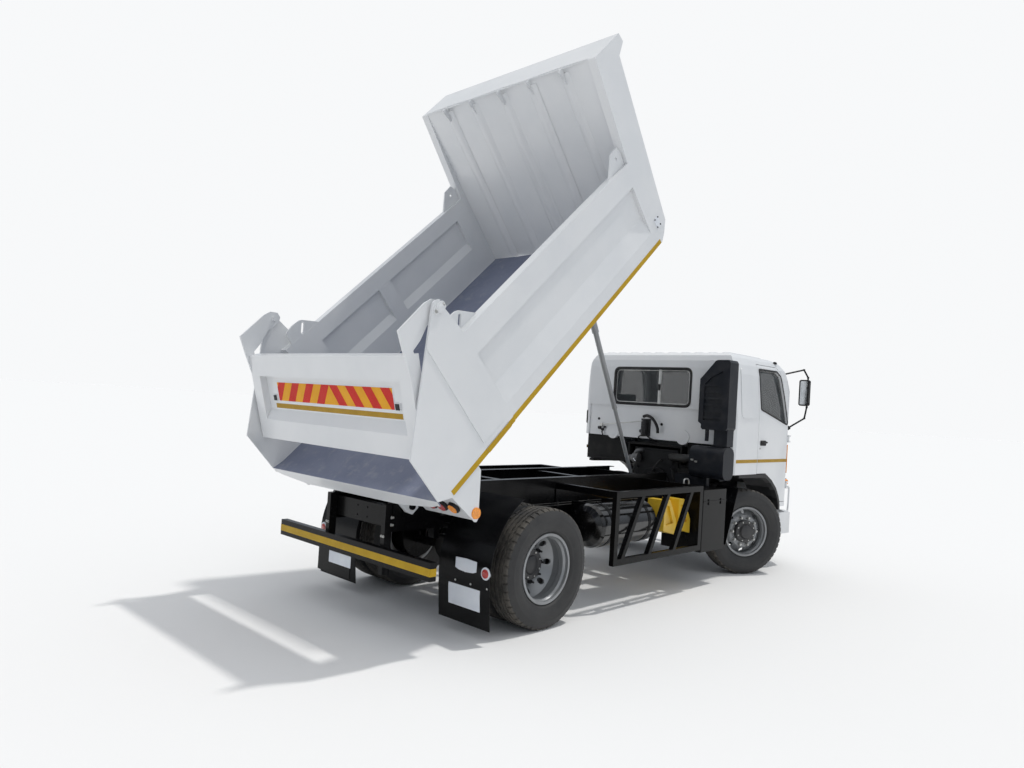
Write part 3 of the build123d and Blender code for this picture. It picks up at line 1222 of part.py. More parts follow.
def make_mirrors():
    rod = 11
    path = [(790, -1030, 2490), (1080, -1175, 2572), (1080, -1235, 2470), (1080, -1235, 2080),
            (1080, -1210, 1930), (890, -1085, 1795)]
    pieces = [bar(start, end, rod) for start, end in zip(path, path[1:])]
    knees = [Pos(*point) * Box(2 * rod, 2 * rod, 2 * rod) for point in path[1:-1]]
    glass_case = block((1050, 1110), (-1262, -1132), (2095, 2440))
    case = fillet(glass_case.edges().filter_by(Axis.X), 28)
    stays = joined([*pieces, *knees, case]) - cab_solid(0)
    save_cab("mirrors", on_both_sides(stays))


def make_interior():
    floor_top = CAB_SILL_Z + 48
    for_seat = [(-340, floor_top), (-340, 1600), (-500, 2150), (-400, 2180), (-210, 1640), (160, 1640),
                (160, floor_top)]
    save_cab("seats", on_both_sides(side_plate(for_seat, (-1000, -430))))
    half = CAB_HALF - DOOR_T - CLEAR
    dash_outline = [(700, 1420), (740, 1760), (960, 1740), (CAB_FRONT_X, 1500), (CAB_FRONT_X, 1300),
                    (820, 1300)]
    save_cab("dashboard", side_plate(dash_outline, (-half, half)) & floor_room())
    wheel = Plane(origin=STEERING_CENTRE, z_dir=STEERING_AXIS)
    column = bar((750, -WHEEL_SIDE_Y, 1560), STEERING_CENTRE, 24)
    r, t = STEERING_R, STEERING_RIM_R
    rim = revolve(
        make_face(Plane.XZ * Pos(r, 0, 0) * RegularPolygon(t, 8)), axis=Axis.Z, revolution_arc=360)
    hub_plate = Cylinder(45, 40) + Box(28, r * 2, 14) + Pos(-r / 2, 0, 0) * Box(r, 28, 14)
    whole = joined([column, *(wheel * rim).solids(), *(wheel * hub_plate).solids()])
    save_cab("steering_wheel", whole - side_plate(dash_outline, (-half, half)))


def make_intake():
    y0, y1 = INTAKE_Y
    z0, z1 = INTAKE_Z
    face = [(y0 + 20, z0), (y1 - 60, z0), (y1 - 40, z0 + 20), (y1 - 40, z0 + 60), (y1, z0 + 90),
            (y1, z1 - 225), (y1 - 30, z1 - 195), (y1 - 190, z1 - 12), (y1 - 220, z1), (y0 + 20, z1),
            (y0, z1 - 30), (y0, z0 + 30)]
    case = front_plate(face, (INTAKE_X, CAB_REAR_X))
    louvre = front_plate(
        [(y0 + 90, z0 + 110), (y1 - 60, z0 + 110), (y1 - 60, z1 - 290), (y1 - 150, z1 - 200),
         (y0 + 90, z1 - 130)],
        (INTAKE_X - 1, INTAKE_X + 22))
    case = case - louvre
    slats = []
    for index in range(INTAKE_SLATS):
        low = z0 + 130 + (z1 - z0 - 440) * index / (INTAKE_SLATS - 1)
        slats.append(block((INTAKE_X + 6, INTAKE_X + 24), (y0 + 80, y1 - 50), (low, low + 26)))
    duct = block((INTAKE_X + 30, CAB_REAR_X - 20), (y0 + 10, y0 + 180), (CLEANER_Z[1] + 8, z0 + 10))
    leg = block((INTAKE_X + 30, INTAKE_X + 60), (y1 - 120, y1 - 85), (CLEANER_Z[1] + 60, z0 + 10))
    save_cab("intake_snorkel", joined([case, *slats, duct, leg]))


def main():
    os.makedirs("parts", exist_ok=True)
    steps = (
        make_wheels, make_knuckles, make_chassis_frame, make_subframe, make_axles, make_springs, make_drive,
        make_tanks, make_chocks, make_side_guards, make_mudguards, make_rear_bumper, make_front_bumper,
        make_air_cleaner, make_bed_floor, make_bed_sides, make_headboard, make_underframe, make_gate,
        make_hoist, make_cab, make_doors, make_front_trim, make_mirrors, make_interior, make_intake,
        make_lamps,
    )
    for step in steps:
        step()


main()
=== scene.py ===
"""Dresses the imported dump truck: paint, rubber, glass, stripes, tread, bolts, hoses and trim.

Everything is in metres. Places are counted from the rear axle on the ground, as in the CAD
source, and Form moves them so that X = 0 is half-way along the truck. Pieces of the bin are
drawn with the bin level and are then tipped to its raised place.
"""
from __future__ import annotations

import json
import logging
import math
from dataclasses import dataclass, field
from enum import Enum
from itertools import product
from typing import Any, Iterable, Mapping, Sequence

import bmesh
import bpy
from mathutils import Matrix, Vector
from mathutils.bvhtree import BVHTree

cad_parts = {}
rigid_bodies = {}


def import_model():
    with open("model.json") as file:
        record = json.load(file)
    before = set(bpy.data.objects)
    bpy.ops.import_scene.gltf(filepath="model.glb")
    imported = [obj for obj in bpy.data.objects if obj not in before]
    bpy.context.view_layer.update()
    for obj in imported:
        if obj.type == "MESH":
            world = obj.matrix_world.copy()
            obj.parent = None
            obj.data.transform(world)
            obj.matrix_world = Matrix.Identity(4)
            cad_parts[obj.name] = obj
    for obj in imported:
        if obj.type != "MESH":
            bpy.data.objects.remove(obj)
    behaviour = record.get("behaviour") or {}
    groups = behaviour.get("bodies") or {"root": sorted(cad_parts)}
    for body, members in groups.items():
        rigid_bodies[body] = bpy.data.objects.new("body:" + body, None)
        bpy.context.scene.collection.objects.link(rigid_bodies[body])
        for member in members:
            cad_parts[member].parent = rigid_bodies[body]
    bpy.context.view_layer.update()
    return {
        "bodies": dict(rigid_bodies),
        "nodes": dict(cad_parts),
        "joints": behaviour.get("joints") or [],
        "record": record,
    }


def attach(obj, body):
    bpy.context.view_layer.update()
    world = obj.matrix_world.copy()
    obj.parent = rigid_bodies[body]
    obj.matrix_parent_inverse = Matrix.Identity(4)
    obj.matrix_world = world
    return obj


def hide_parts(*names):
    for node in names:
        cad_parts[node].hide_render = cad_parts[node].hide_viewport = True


LOG = logging.getLogger("truck")
Point = Sequence[float]

ORIGIN = Vector((1.675, 0.0, 0.0))
SMOOTH_ANGLE = math.radians(34)
LONG_STRETCH = 0.05

# Where lines that are shot at the truck start, beside it, ahead of it and above it
BESIDE = 1.6
AHEAD = 6.2
ABOVE = 3.2


class Body(Enum):
    """The CAD bodies that pieces ride on."""

    CHASSIS = "chassis"
    BED = "bed"
    GATE = "gate"
    BARREL = "hoist_barrel"
    CAB = "cab"
    DOOR_RIGHT = "door_right"
    DOOR_LEFT = "door_left"
    WHEEL_FRONT_RIGHT = "wheel_front_right"
    WHEEL_FRONT_LEFT = "wheel_front_left"
    WHEELS_REAR_RIGHT = "wheels_rear_right"
    WHEELS_REAR_LEFT = "wheels_rear_left"


class Side(Enum):
    """The two sides of the truck, with the sign of y."""

    RIGHT = -1
    LEFT = 1

    @property
    def word(self) -> str:
        """The side's name in lower case."""
        return self.name.lower()

    def span(self, inner: float, outer: float) -> list[float]:
        """Two distances from the middle as values of y on this side, the smaller first."""
        return sorted((self.value * inner, self.value * outer))


class Value:
    """One number socket of a material, so that shader maths reads as an expression."""

    def __init__(self, nodes: "NodeSet", socket: bpy.types.NodeSocket) -> None:
        """Keep the socket and the set of nodes that it belongs to."""
        self.nodes = nodes
        self.socket = socket

    def _math(self, operation: str, first: Any, second: Any = None) -> "Value":
        """Add one Math node.

        Args:
            operation: the node's operation.
            first: the first number or socket.
            second: the second number or socket, where there is one.

        Returns:
            The result as a Value.
        """
        inputs = {0: first} if second is None else {0: first, 1: second}
        made = self.nodes.node("ShaderNodeMath", {"operation": operation}, inputs)
        return Value(self.nodes, made.outputs[0])

    def __add__(self, other: Any) -> "Value":
        """Add."""
        return self._math("ADD", self, other)

    __radd__ = __add__

    def __mul__(self, other: Any) -> "Value":
        """Multiply."""
        return self._math("MULTIPLY", self, other)

    __rmul__ = __mul__

    def sine(self) -> "Value":
        """The sine."""
        return self._math("SINE", self)

    def ramp(self, low: float, high: float) -> "Value":
        """Go smoothly from zero at low to one at high.

        Args:
            low: where the result is zero.
            high: where the result is one; it may be the smaller of the two.

        Returns:
            The result as a Value.
        """
        made = self.nodes.node("ShaderNodeMapRange", {"interpolation_type": "SMOOTHSTEP"},
                               {"Value": self, "From Min": low, "From Max": high})
        return Value(self.nodes, made.outputs[0])


def set_stops(ramp: bpy.types.ColorRamp, stops: Sequence[tuple[float, Point]]) -> None:
    """Give a colour ramp its stops.

    Args:
        ramp: the ramp.
        stops: each stop's place and colour, in order.
    """
    while len(ramp.elements) < len(stops):
        ramp.elements.new(0.5)
    for element, (place, colour) in zip(ramp.elements, stops):
        element.position = place
        element.color = (*colour[:3], 1.0)


class NodeSet:
    """The nodes of one material or of the world."""

    def __init__(self, name: str, world: bool = False) -> None:
        """Start with no nodes but the output.

        Args:
            name: the material's or the world's name.
            world: whether it is a world.
        """
        self.owner = bpy.data.worlds.new(name) if world else bpy.data.materials.new(name)
        self.owner.use_nodes = True
        self.tree = self.owner.node_tree
        self.tree.nodes.clear()
        self.output = self.node("ShaderNodeOutputWorld" if world else "ShaderNodeOutputMaterial")

    def node(
        self,
        kind: str,
        settings: Mapping[str, Any] | None = None,
        inputs: Mapping[str | int, Any] | None = None,
    ) -> bpy.types.Node:
        """Add one node.

        Args:
            kind: the node's type.
            settings: properties set before any socket; stops are a ramp's places and colours.
            inputs: a value or link for each socket, by name or number.

        Returns:
            The new node.
        """
        made = self.tree.nodes.new(kind)
        for name, value in (settings or {}).items():
            if name == "stops":
                set_stops(made.color_ramp, value)
            else:
                setattr(made, name, value)
        for name, value in (inputs or {}).items():
            self.feed(made.inputs[name], value)
        return made

    def feed(self, socket: bpy.types.NodeSocket, value: Any) -> None:
        """Link or set one socket.

        Args:
            socket: the input.
            value: a Value, a node socket, a number or a colour.
        """
        if isinstance(value, Value):
            value = value.socket
        if isinstance(value, bpy.types.NodeSocket):
            self.tree.links.new(value, socket)
        elif socket.type == "RGBA":
            socket.default_value = (*tuple(value)[:3], 1.0)
        else:
            socket.default_value = value

    def place(self) -> bpy.types.NodeSocket:
        """The point on the piece, in the truck's frame at rest."""
        return self.node("ShaderNodeTexCoord").outputs["Object"]

    def axis(self, name: str) -> Value:
        """One coordinate of the point, by its letter."""
        parts = self.node("ShaderNodeSeparateXYZ", None, {0: self.place()})
        return Value(self, parts.outputs[name])

    def noise(self, scale: float, detail: float = 4.0, roughness: float = 0.55) -> Value:
        """Smooth noise from zero to one.

        Args:
            scale: how many lumps there are in a metre.
            detail: the number of finer layers.
            roughness: how strong the finer layers are.

        Returns:
            The noise as a Value.
        """
        made = self.node("ShaderNodeTexNoise", None, {
            "Vector": self.place(), "Scale": scale, "Detail": detail, "Roughness": roughness})
        return Value(self, made.outputs["Fac"])

    def streaks(self, scale: float, stretch: float) -> Value:
        """Noise drawn out along Z, like marks that water leaves.

        Args:
            scale: how many lumps there are in a metre across.
            stretch: how many times longer a mark is than wide.

        Returns:
            The noise as a Value.
        """
        longer = self.node("ShaderNodeVectorMath", {"operation": "MULTIPLY"},
                           {0: self.place(), 1: (1.0, 1.0, 1.0 / stretch)})
        made = self.node("ShaderNodeTexNoise", None,
                         {"Vector": longer.outputs[0], "Scale": scale, "Detail": 5.0})
        return Value(self, made.outputs["Fac"])

    def mix(self, amount: Any, first: Any, second: Any) -> bpy.types.NodeSocket:
        """Mix two colours.

        Args:
            amount: zero gives the first, one the second.
            first: a colour or a colour socket.
            second: a colour or a colour socket.

        Returns:
            The mixed colour's socket.
        """
        made = self.node("ShaderNodeMix", {"data_type": "RGBA"}, {0: amount, 6: first, 7: second})
        return made.outputs[2]

    def bump(self, height: Value, distance: float) -> bpy.types.NodeSocket:
        """A normal from a height.

        Args:
            height: the height, from zero to one.
            distance: the depth that one stands for, in metres.

        Returns:
            The normal's socket.
        """
        made = self.node("ShaderNodeBump", None, {"Height": height, "Distance": distance, "Strength": 1.0})
        return made.outputs[0]

    def surface(self, **inputs: Any) -> bpy.types.Material:
        """Finish the material with one Principled shader.

        Args:
            inputs: the shader's sockets, with _ for a space.

        Returns:
            The material.
        """
        named = {name.replace("_", " "): value for name, value in inputs.items()}
        shader = self.node("ShaderNodeBsdfPrincipled", None, named)
        self.feed(self.output.inputs["Surface"], shader.outputs[0])
        return self.owner


@dataclass(frozen=True)
class Paint:
    """Sprayed paint with a slight orange peel, faint marks and dust that thickens near the road."""

    name: str
    colour: Point
    shade: Point
    roughness: float = 0.32
    coat: float = 0.35
    dust: float = 0.10
    dust_colour: Point = (0.42, 0.38, 0.32)
    dust_top: float = 1.1
    specular: float = 0.5
    metallic: float = 0.0
    peel: float = 0.00022

    def build(self) -> bpy.types.Material:
        """Build the finish.

        Returns:
            The material.
        """
        nodes = NodeSet(self.name)
        clouds = nodes.noise(1.7, 5.0)
        marks = nodes.streaks(9.0, 6.0)
        low = nodes.axis("Z").ramp(self.dust_top, 0.0)
        dust = (marks.ramp(0.40, 0.80) * 0.6 + clouds.ramp(0.40, 0.80) * 0.4) * (low + 0.15) * self.dust
        base = nodes.mix(clouds.ramp(0.35, 0.68), self.colour, self.shade)
        rough = clouds * 0.08 + dust * 0.6 + (self.roughness - 0.04)
        peel = nodes.noise(160.0, 2.0)
        return nodes.surface(
            Base_Color=nodes.mix(dust, base, self.dust_colour),
            Roughness=rough,
            Metallic=self.metallic,
            Specular_IOR_Level=self.specular,
            Coat_Weight=self.coat,
            Coat_Roughness=0.08,
            Normal=nodes.bump(peel + clouds * 3.0, self.peel),
        )


@dataclass(frozen=True)
class WornFloor:
    """The bin's floor: grey-blue paint with long scrapes along the bin and patches of dust."""

    name: str
    colour: Point
    shade: Point
    scrape: Point
    dust_colour: Point = (0.44, 0.45, 0.46)

    def build(self) -> bpy.types.Material:
        """Build the finish.

        Returns:
            The material.
        """
        nodes = NodeSet(self.name)
        clouds = nodes.noise(2.3, 6.0, 0.6)
        patches = nodes.noise(9.0, 5.0, 0.65)
        scratches = nodes.streaks(34.0, 9.0).ramp(0.62, 0.74)
        base = nodes.mix(clouds.ramp(0.3, 0.7), self.colour, self.shade)
        worn = nodes.mix(scratches * 0.35, base, self.scrape)
        return nodes.surface(
            Base_Color=nodes.mix(patches.ramp(0.5, 0.75) * 0.3, worn, self.dust_colour),
            Roughness=patches * 0.2 + 0.42,
            Normal=nodes.bump(scratches * 0.4 + patches * 0.6, 0.0012),
        )


@dataclass(frozen=True)
class Rubber:
    """Tyre rubber with dust that lies thicker where noise is high."""

    name: str
    colour: Point = (0.030, 0.030, 0.031)
    dust_colour: Point = (0.30, 0.26, 0.21)
    dust: float = 0.3
    roughness: float = 0.62

    def build(self) -> bpy.types.Material:
        """Build the finish.

        Returns:
            The material.
        """
        nodes = NodeSet(self.name)
        clouds = nodes.noise(5.0, 6.0, 0.6)
        fine = nodes.noise(90.0, 3.0)
        dust = (clouds.ramp(0.3, 0.72) * 0.7 + fine.ramp(0.35, 0.7) * 0.3) * self.dust
        return nodes.surface(
            Base_Color=nodes.mix(dust, self.colour, self.dust_colour),
            Roughness=dust * 0.5 + self.roughness,
            Normal=nodes.bump(fine, 0.0006),
        )


@dataclass(frozen=True)
class Moulded:
    """Moulded plastic or rubber trim with a fine grain."""

    name: str
    colour: Point
    roughness: float = 0.5
    grain: float = 0.0003
    grain_scale: float = 420.0
    dust: float = 0.12
    specular: float = 0.28
    dust_colour: Point = (0.34, 0.32, 0.29)

    def build(self) -> bpy.types.Material:
        """Build the finish.

        Returns:
            The material.
        """
        nodes = NodeSet(self.name)
        grain = nodes.noise(self.grain_scale, 2.0)
        clouds = nodes.noise(6.0, 5.0)
        dust = clouds.ramp(0.4, 0.75) * self.dust
        return nodes.surface(
            Base_Color=nodes.mix(dust, self.colour, self.dust_colour),
            Roughness=clouds * 0.12 + dust + (self.roughness - 0.06),
            Specular_IOR_Level=self.specular,
            Normal=nodes.bump(grain, self.grain),
        )


@dataclass(frozen=True)
class Metal:
    """Bare or plated metal with fine scratches."""

    name: str
    colour: Point
    roughness: float = 0.3
    scratch_scale: float = 130.0
    metallic: float = 1.0

    def build(self) -> bpy.types.Material:
        """Build the finish.

        Returns:
            The material.
        """
        nodes = NodeSet(self.name)
        scratches = nodes.noise(self.scratch_scale, 4.0, 0.7)
        clouds = nodes.noise(7.0, 5.0)
        darker = [channel * 0.72 for channel in self.colour]
        return nodes.surface(
            Base_Color=nodes.mix(clouds.ramp(0.35, 0.75), self.colour, darker),
            Metallic=self.metallic,
            Roughness=scratches * 0.14 + clouds * 0.1 + (self.roughness - 0.1),
            Normal=nodes.bump(scratches, 0.0003),
        )


@dataclass(frozen=True)
class Glazing:
    """Tinted window glass, seen through and reflecting, with a little dust."""

    name: str
    tint: Point
    clear: float = 0.55
    dust_colour: Point = (0.4, 0.4, 0.38)

    def build(self) -> bpy.types.Material:
        """Build the finish.

        Returns:
            The material.
        """
        nodes = NodeSet(self.name)
        dust = nodes.noise(14.0, 5.0).ramp(0.5, 0.8) * 0.08
        return nodes.surface(
            Base_Color=nodes.mix(dust, self.tint, self.dust_colour),
            Roughness=dust + 0.03,
            Alpha=dust + (1.0 - self.clear),
            Specular_IOR_Level=0.7,
        )


@dataclass(frozen=True)
class Lens:
    """A ribbed lamp lens over a bright reflector."""

    name: str
    colour: Point
    glow: float = 0.0

    def build(self) -> bpy.types.Material:
        """Build the finish.

        Returns:
            The material.
        """
        nodes = NodeSet(self.name)
        cells = nodes.node("ShaderNodeTexVoronoi", {"feature": "F1"},
                           {"Vector": nodes.place(), "Scale": 150.0})
        ribs = Value(nodes, cells.outputs["Distance"])
        deeper = [channel * 0.55 for channel in self.colour]
        return nodes.surface(
            Base_Color=nodes.mix(ribs.ramp(0.2, 0.6), self.colour, deeper),
            Roughness=ribs * 0.1 + 0.12,
            Coat_Weight=1.0,
            Coat_Roughness=0.03,
            Emission_Color=self.colour,
            Emission_Strength=self.glow,
            Normal=nodes.bump(ribs, 0.0012),
        )


@dataclass(frozen=True)
class Tape:
    """Reflecting tape with its fine cells."""

    name: str
    colour: Point
    shade: Point

    def build(self) -> bpy.types.Material:
        """Build the finish.

        Returns:
            The material.
        """
        nodes = NodeSet(self.name)
        cells = nodes.node("ShaderNodeTexVoronoi", {"feature": "DISTANCE_TO_EDGE"},
                           {"Vector": nodes.place(), "Scale": 240.0})
        edge = Value(nodes, cells.outputs["Distance"]).ramp(0.02, 0.12)
        clouds = nodes.noise(8.0, 4.0)
        base = nodes.mix(clouds.ramp(0.3, 0.7), self.colour, self.shade)
        return nodes.surface(
            Base_Color=nodes.mix(edge * 0.8 + 0.2, self.shade, base),
            Roughness=clouds * 0.15 + 0.36,
            Specular_IOR_Level=0.25,
            Normal=nodes.bump(edge, 0.0002),
        )


@dataclass(frozen=True)
class Weave:
    """Seat cloth with a plain weave."""

    name: str
    colour: Point
    shade: Point
    threads: float = 2600.0

    def build(self) -> bpy.types.Material:
        """Build the finish.

        Returns:
            The material.
        """
        nodes = NodeSet(self.name)
        over = (nodes.axis("Y") * self.threads).sine()
        under = (nodes.axis("Z") * self.threads).sine()
        cloth = over * under * 0.5 + 0.5
        return nodes.surface(
            Base_Color=nodes.mix(cloth, self.colour, self.shade),
            Roughness=cloth * 0.1 + 0.8,
            Sheen_Weight=0.3,
            Normal=nodes.bump(cloth, 0.0004),
        )


class Finishes:
    """Every material of the truck, made once and found by name."""

    TABLE = (
        Paint("white_paint", (0.74, 0.75, 0.76), (0.70, 0.715, 0.73), 0.30, 0.5, 0.16),
        WornFloor("floor_paint", (0.20, 0.22, 0.30), (0.16, 0.18, 0.26), (0.32, 0.34, 0.40)),
        Paint("black_paint", (0.0035, 0.0035, 0.0040), (0.0050, 0.0049, 0.0048), 0.24, 0.04, 0.04,
              (0.08, 0.075, 0.07), 1.1, 0.13),
        Paint("tank_paint", (0.0035, 0.0035, 0.0040), (0.0050, 0.0049, 0.0048), 0.12, 0.60, 0.04,
              (0.08, 0.075, 0.07), 1.1, 0.40),
        Paint("hoist_paint", (0.33, 0.34, 0.35), (0.27, 0.28, 0.29), 0.34, 0.3, 0.1),
        Paint("yellow_paint", (0.80, 0.52, 0.03), (0.72, 0.45, 0.03), 0.38, 0.3, 0.3),
        Paint("rim_paint", (0.30, 0.31, 0.32), (0.22, 0.225, 0.23), 0.34, 0.25, 0.35,
              (0.16, 0.15, 0.14), 2.4, 0.5, 0.35),
        Paint("hub_paint", (0.035, 0.035, 0.037), (0.022, 0.022, 0.023), 0.42, 0.1, 0.3, (0.13, 0.12, 0.11),
              2.4),
        Rubber("tyre_side", (0.020, 0.020, 0.021), (0.13, 0.125, 0.115), 0.16, 0.56),
        Rubber("tyre_tread", (0.022, 0.022, 0.022), (0.24, 0.215, 0.18), 0.50, 0.74),
        Moulded("snorkel_plastic", (0.009, 0.011, 0.016), 0.46, dust=0.05),
        Moulded("black_plastic", (0.010, 0.010, 0.011), 0.42, dust=0.05),
        Moulded("seal_rubber", (0.016, 0.016, 0.017), 0.62),
        Moulded("trim_plastic", (0.13, 0.13, 0.14), 0.55),
        Moulded("hose_rubber", (0.02, 0.02, 0.02), 0.5),
        Metal("zinc", (0.62, 0.62, 0.60), 0.34),
        Metal("bright_steel", (0.72, 0.72, 0.73), 0.2),
        Metal("cast_metal", (0.045, 0.045, 0.047), 0.55, metallic=0.4),
        Metal("engine_iron", (0.010, 0.010, 0.011), 0.6, metallic=0.3),
        # The cab floor's dark mat; the same near-black also paints the shade under the cab's rear wall.
        Moulded("floor_mat_and_painted_shade", (0.008, 0.008, 0.008), 0.7, dust=0.04),
        Metal("cast_alloy", (0.20, 0.20, 0.20), 0.5, metallic=0.7),
        Metal("mirror_glass", (0.8, 0.82, 0.84), 0.12, 3.0),
        Glazing("cab_glazing", (0.020, 0.026, 0.026), 0.55),
        Glazing("lamp_glazing", (0.72, 0.75, 0.78), 0.3),
        Lens("amber_lens", (0.94, 0.31, 0.004), 0.18),
        Lens("red_lens", (0.55, 0.02, 0.015), 0.03),
        Tape("yellow_tape", (0.54, 0.34, 0.010), (0.46, 0.28, 0.010)),
        Tape("ochre_tape", (0.46, 0.27, 0.010), (0.38, 0.22, 0.010)),
        Tape("red_tape", (0.66, 0.016, 0.006), (0.56, 0.012, 0.005)),
        Tape("orange_tape", (0.84, 0.40, 0.004), (0.76, 0.34, 0.003)),
        Tape("white_tape", (0.76, 0.79, 0.83), (0.70, 0.73, 0.78)),
        Weave("seat_cloth", (0.09, 0.10, 0.12), (0.16, 0.17, 0.19)),
    )

    def __init__(self) -> None:
        """Build every material in the table."""
        self.made = {finish.name: finish.build() for finish in self.TABLE}

    def pick(self, *names: str) -> list[bpy.types.Material]:
        """The materials of those names, in order."""
        return [self.made[name] for name in names]


BIN_PIVOT = Vector((-0.950, 0.0, 1.000))
BIN_PIVOT_LEVEL = Vector((0.037, 0.0, -0.274))
BIN_RAISE = math.radians(43.0)
TRUCK = Matrix.Translation(-ORIGIN)
BIN = (
    TRUCK
    @ Matrix.Translation(BIN_PIVOT)
    @ Matrix.Rotation(-BIN_RAISE, 4, "Y")
    @ Matrix.Translation(-BIN_PIVOT_LEVEL)
)
GATE_TOP = Vector((-1.62994, 0.0, 2.17869))
GATE_LEAN = math.radians(15.124)
GATE = TRUCK @ Matrix.Translation(GATE_TOP) @ Matrix.Rotation(-GATE_LEAN, 4, "Y")


class Form:
    """One piece that is being built: a mesh in a chosen frame, with its finishes."""

    BOLT_SUNK = 0.0015
    WASHER_THICK = 0.0035
    WASHER_REACH = 1.45
    HEAD_TALL = 0.9
    HEAD_EDGE = (0.85, 0.82)
    EDGE_ANGLE = math.radians(32)
    BEAD_SECTION = ((-1.0, -0.1), (-1.0, 0.55), (-0.55, 1.0), (0.55, 1.0), (1.0, 0.55), (1.0, -0.1))

    def __init__(self, name: str, frame: Matrix = TRUCK) -> None:
        """Start an empty mesh.

        Args:
            name: the piece's name.
            frame: takes the piece's own coordinates to the truck's.
        """
        self.name = name
        self.frame = frame
        self.mesh = bmesh.new()
        self.finish_index = 0

    def solid(self, points: Iterable[Point], depth: Point) -> list[bmesh.types.BMFace]:
        """A flat outline pushed along a vector into a closed solid.

        Args:
            points: the outline's corners, in order.
            depth: the vector from one face to the other.

        Returns:
            The new faces.
        """
        near = [Vector(p) for p in points]
        far = [p + Vector(depth) for p in near]
        normal = sum((a.cross(b) for a, b in zip(near, near[1:] + near[:1])), Vector())
        if normal.dot(Vector(depth)) > 0:
            near, far = near[::-1], far[::-1]
        a = [self.mesh.verts.new(p) for p in near]
        b = [self.mesh.verts.new(p) for p in far]
        faces = [self.mesh.faces.new(a), self.mesh.faces.new(b[::-1])]
        for i in range(len(a)):
            j = (i + 1) % len(a)
            faces.append(self.mesh.faces.new((a[j], a[i], b[i], b[j])))
        for face in faces:
            face.material_index = self.finish_index
        return faces

    def block(self, x: Point, y: Point, z: Point) -> None:
        """A box between two ends on each axis."""
        outline = [(x[0], y[0], z[0]), (x[1], y[0], z[0]), (x[1], y[0], z[1]), (x[0], y[0], z[1])]
        self.solid(outline, (0.0, y[1] - y[0], 0.0))

    def side(self, points: Iterable[Point], y: Point) -> None:
        """A plate drawn in side view as (x, z), between two values of y."""
        self.solid([(px, y[0], pz) for px, pz in points], (0.0, y[1] - y[0], 0.0))

    def ring(self, centre: Vector, u: Vector, v: Vector, radius: float, sides: int) -> list:
        """A ring of points round a centre.

        Args:
            centre: the middle.
            u: one direction of the ring's plane.
            v: the other direction.
            radius: the radius.
            sides: how many points.

        Returns:
            The new vertices.
        """
        angles = [2 * math.pi * k / sides for k in range(sides)]
        return [self.mesh.verts.new(centre + (u * math.cos(a) + v * math.sin(a)) * radius) for a in angles]

    def skin(self, rings: Sequence[Sequence], closed: bool = False) -> None:
        """Faces between rings that have the same number of points.

        Args:
            rings: the rings, in order.
            closed: whether the last ring is joined to the first.
        """
        count = len(rings[0])
        following = [*rings[1:], rings[0]] if closed else rings[1:]
        for low, high in zip(rings, following):
            for k in range(count):
                m = (k + 1) % count
                face = self.mesh.faces.new((low[k], low[m], high[m], high[k]))
                face.material_index = self.finish_index

    def cap(self, rings: Sequence[Sequence]) -> None:
        """Close the first and the last ring with a face each."""
        for ring in (rings[0][::-1], rings[-1]):
            self.mesh.faces.new(ring).material_index = self.finish_index

    def lathe(self, base: Point, axis: Point, profile: Sequence[Point], sides: int = 24) -> None:
        """A turned form: rings of given radius at given distances along an axis.

        Args:
            base: the axis's start.
            axis: its direction.
            profile: (distance, radius) pairs; a radius of zero closes the form.
            sides: how many sides each ring has.
        """
        start, along = Vector(base), Vector(axis).normalized()
        u = beside_axis(along)
        v = along.cross(u)
        rings: list[list] = []
        for distance, radius in profile:
            centre = start + along * distance
            rings.append(self.ring(centre, u, v, radius, sides) if radius else [self.mesh.verts.new(centre)])
        faces = []
        for low, high in zip(rings, rings[1:]):
            for k in range(sides):
                m = (k + 1) % sides
                corners = [low[k % len(low)], low[m % len(low)], high[m % len(high)], high[k % len(high)]]
                unique = list(dict.fromkeys(corners))
                if len(unique) > 2:
                    faces.append(self.mesh.faces.new(unique))
        for ring, flip in ((rings[0], True), (rings[-1], False)):
            if len(ring) > 2:
                faces.append(self.mesh.faces.new(ring[::-1] if flip else ring))
        for face in faces:
            face.material_index = self.finish_index

    def hoop(self, base: Point, axis: Point, section: Sequence[Point], sides: int = 32) -> None:
        """A ring turned from a closed section.

        Args:
            base: the point on the axis that distances are counted from.
            axis: the ring's axis.
            section: the section's corners as (distance, radius), in order.
            sides: how many sides the ring has.
        """
        start, along = Vector(base), Vector(axis).normalized()
        u = beside_axis(along)
        self.skin([self.ring(start + along * d, u, along.cross(u), r, sides) for d, r in section], True)

    def bead(self, loop: Sequence[Point], half: Point, inward: Point) -> None:
        """A moulded strip with a rounded section laid round a closed loop.

        Args:
            loop: the loop's points, in order.
            half: half of the strip's width, and its height.
            inward: the direction that the strip's height points against.
        """
        points = [Vector(p) for p in loop]
        out = -Vector(inward).normalized()
        rings = []
        for k, point in enumerate(points):
            ahead = (points[(k + 1) % len(points)] - points[k - 1]).normalized()
            across = ahead.cross(out).normalized()
            spots = [point + across * (half[0] * a) + out * (half[1] * b) for a, b in self.BEAD_SECTION]
            rings.append([self.mesh.verts.new(spot) for spot in spots])
        self.skin(rings, True)

    def bar(self, start: Point, end: Point, radius: float, sides: int = 16) -> None:
        """A round bar between two points, with its edges broken.

        Args:
            start: the middle of one end.
            end: the middle of the other end.
            radius: the bar's radius.
            sides: how many sides it has.
        """
        length = (Vector(end) - Vector(start)).length
        soft = min(radius * 0.15, length * 0.2)
        profile = [(0.0, radius - soft), (soft, radius), (length - soft, radius), (length, radius - soft)]
        self.lathe(start, Vector(end) - Vector(start), profile, sides)

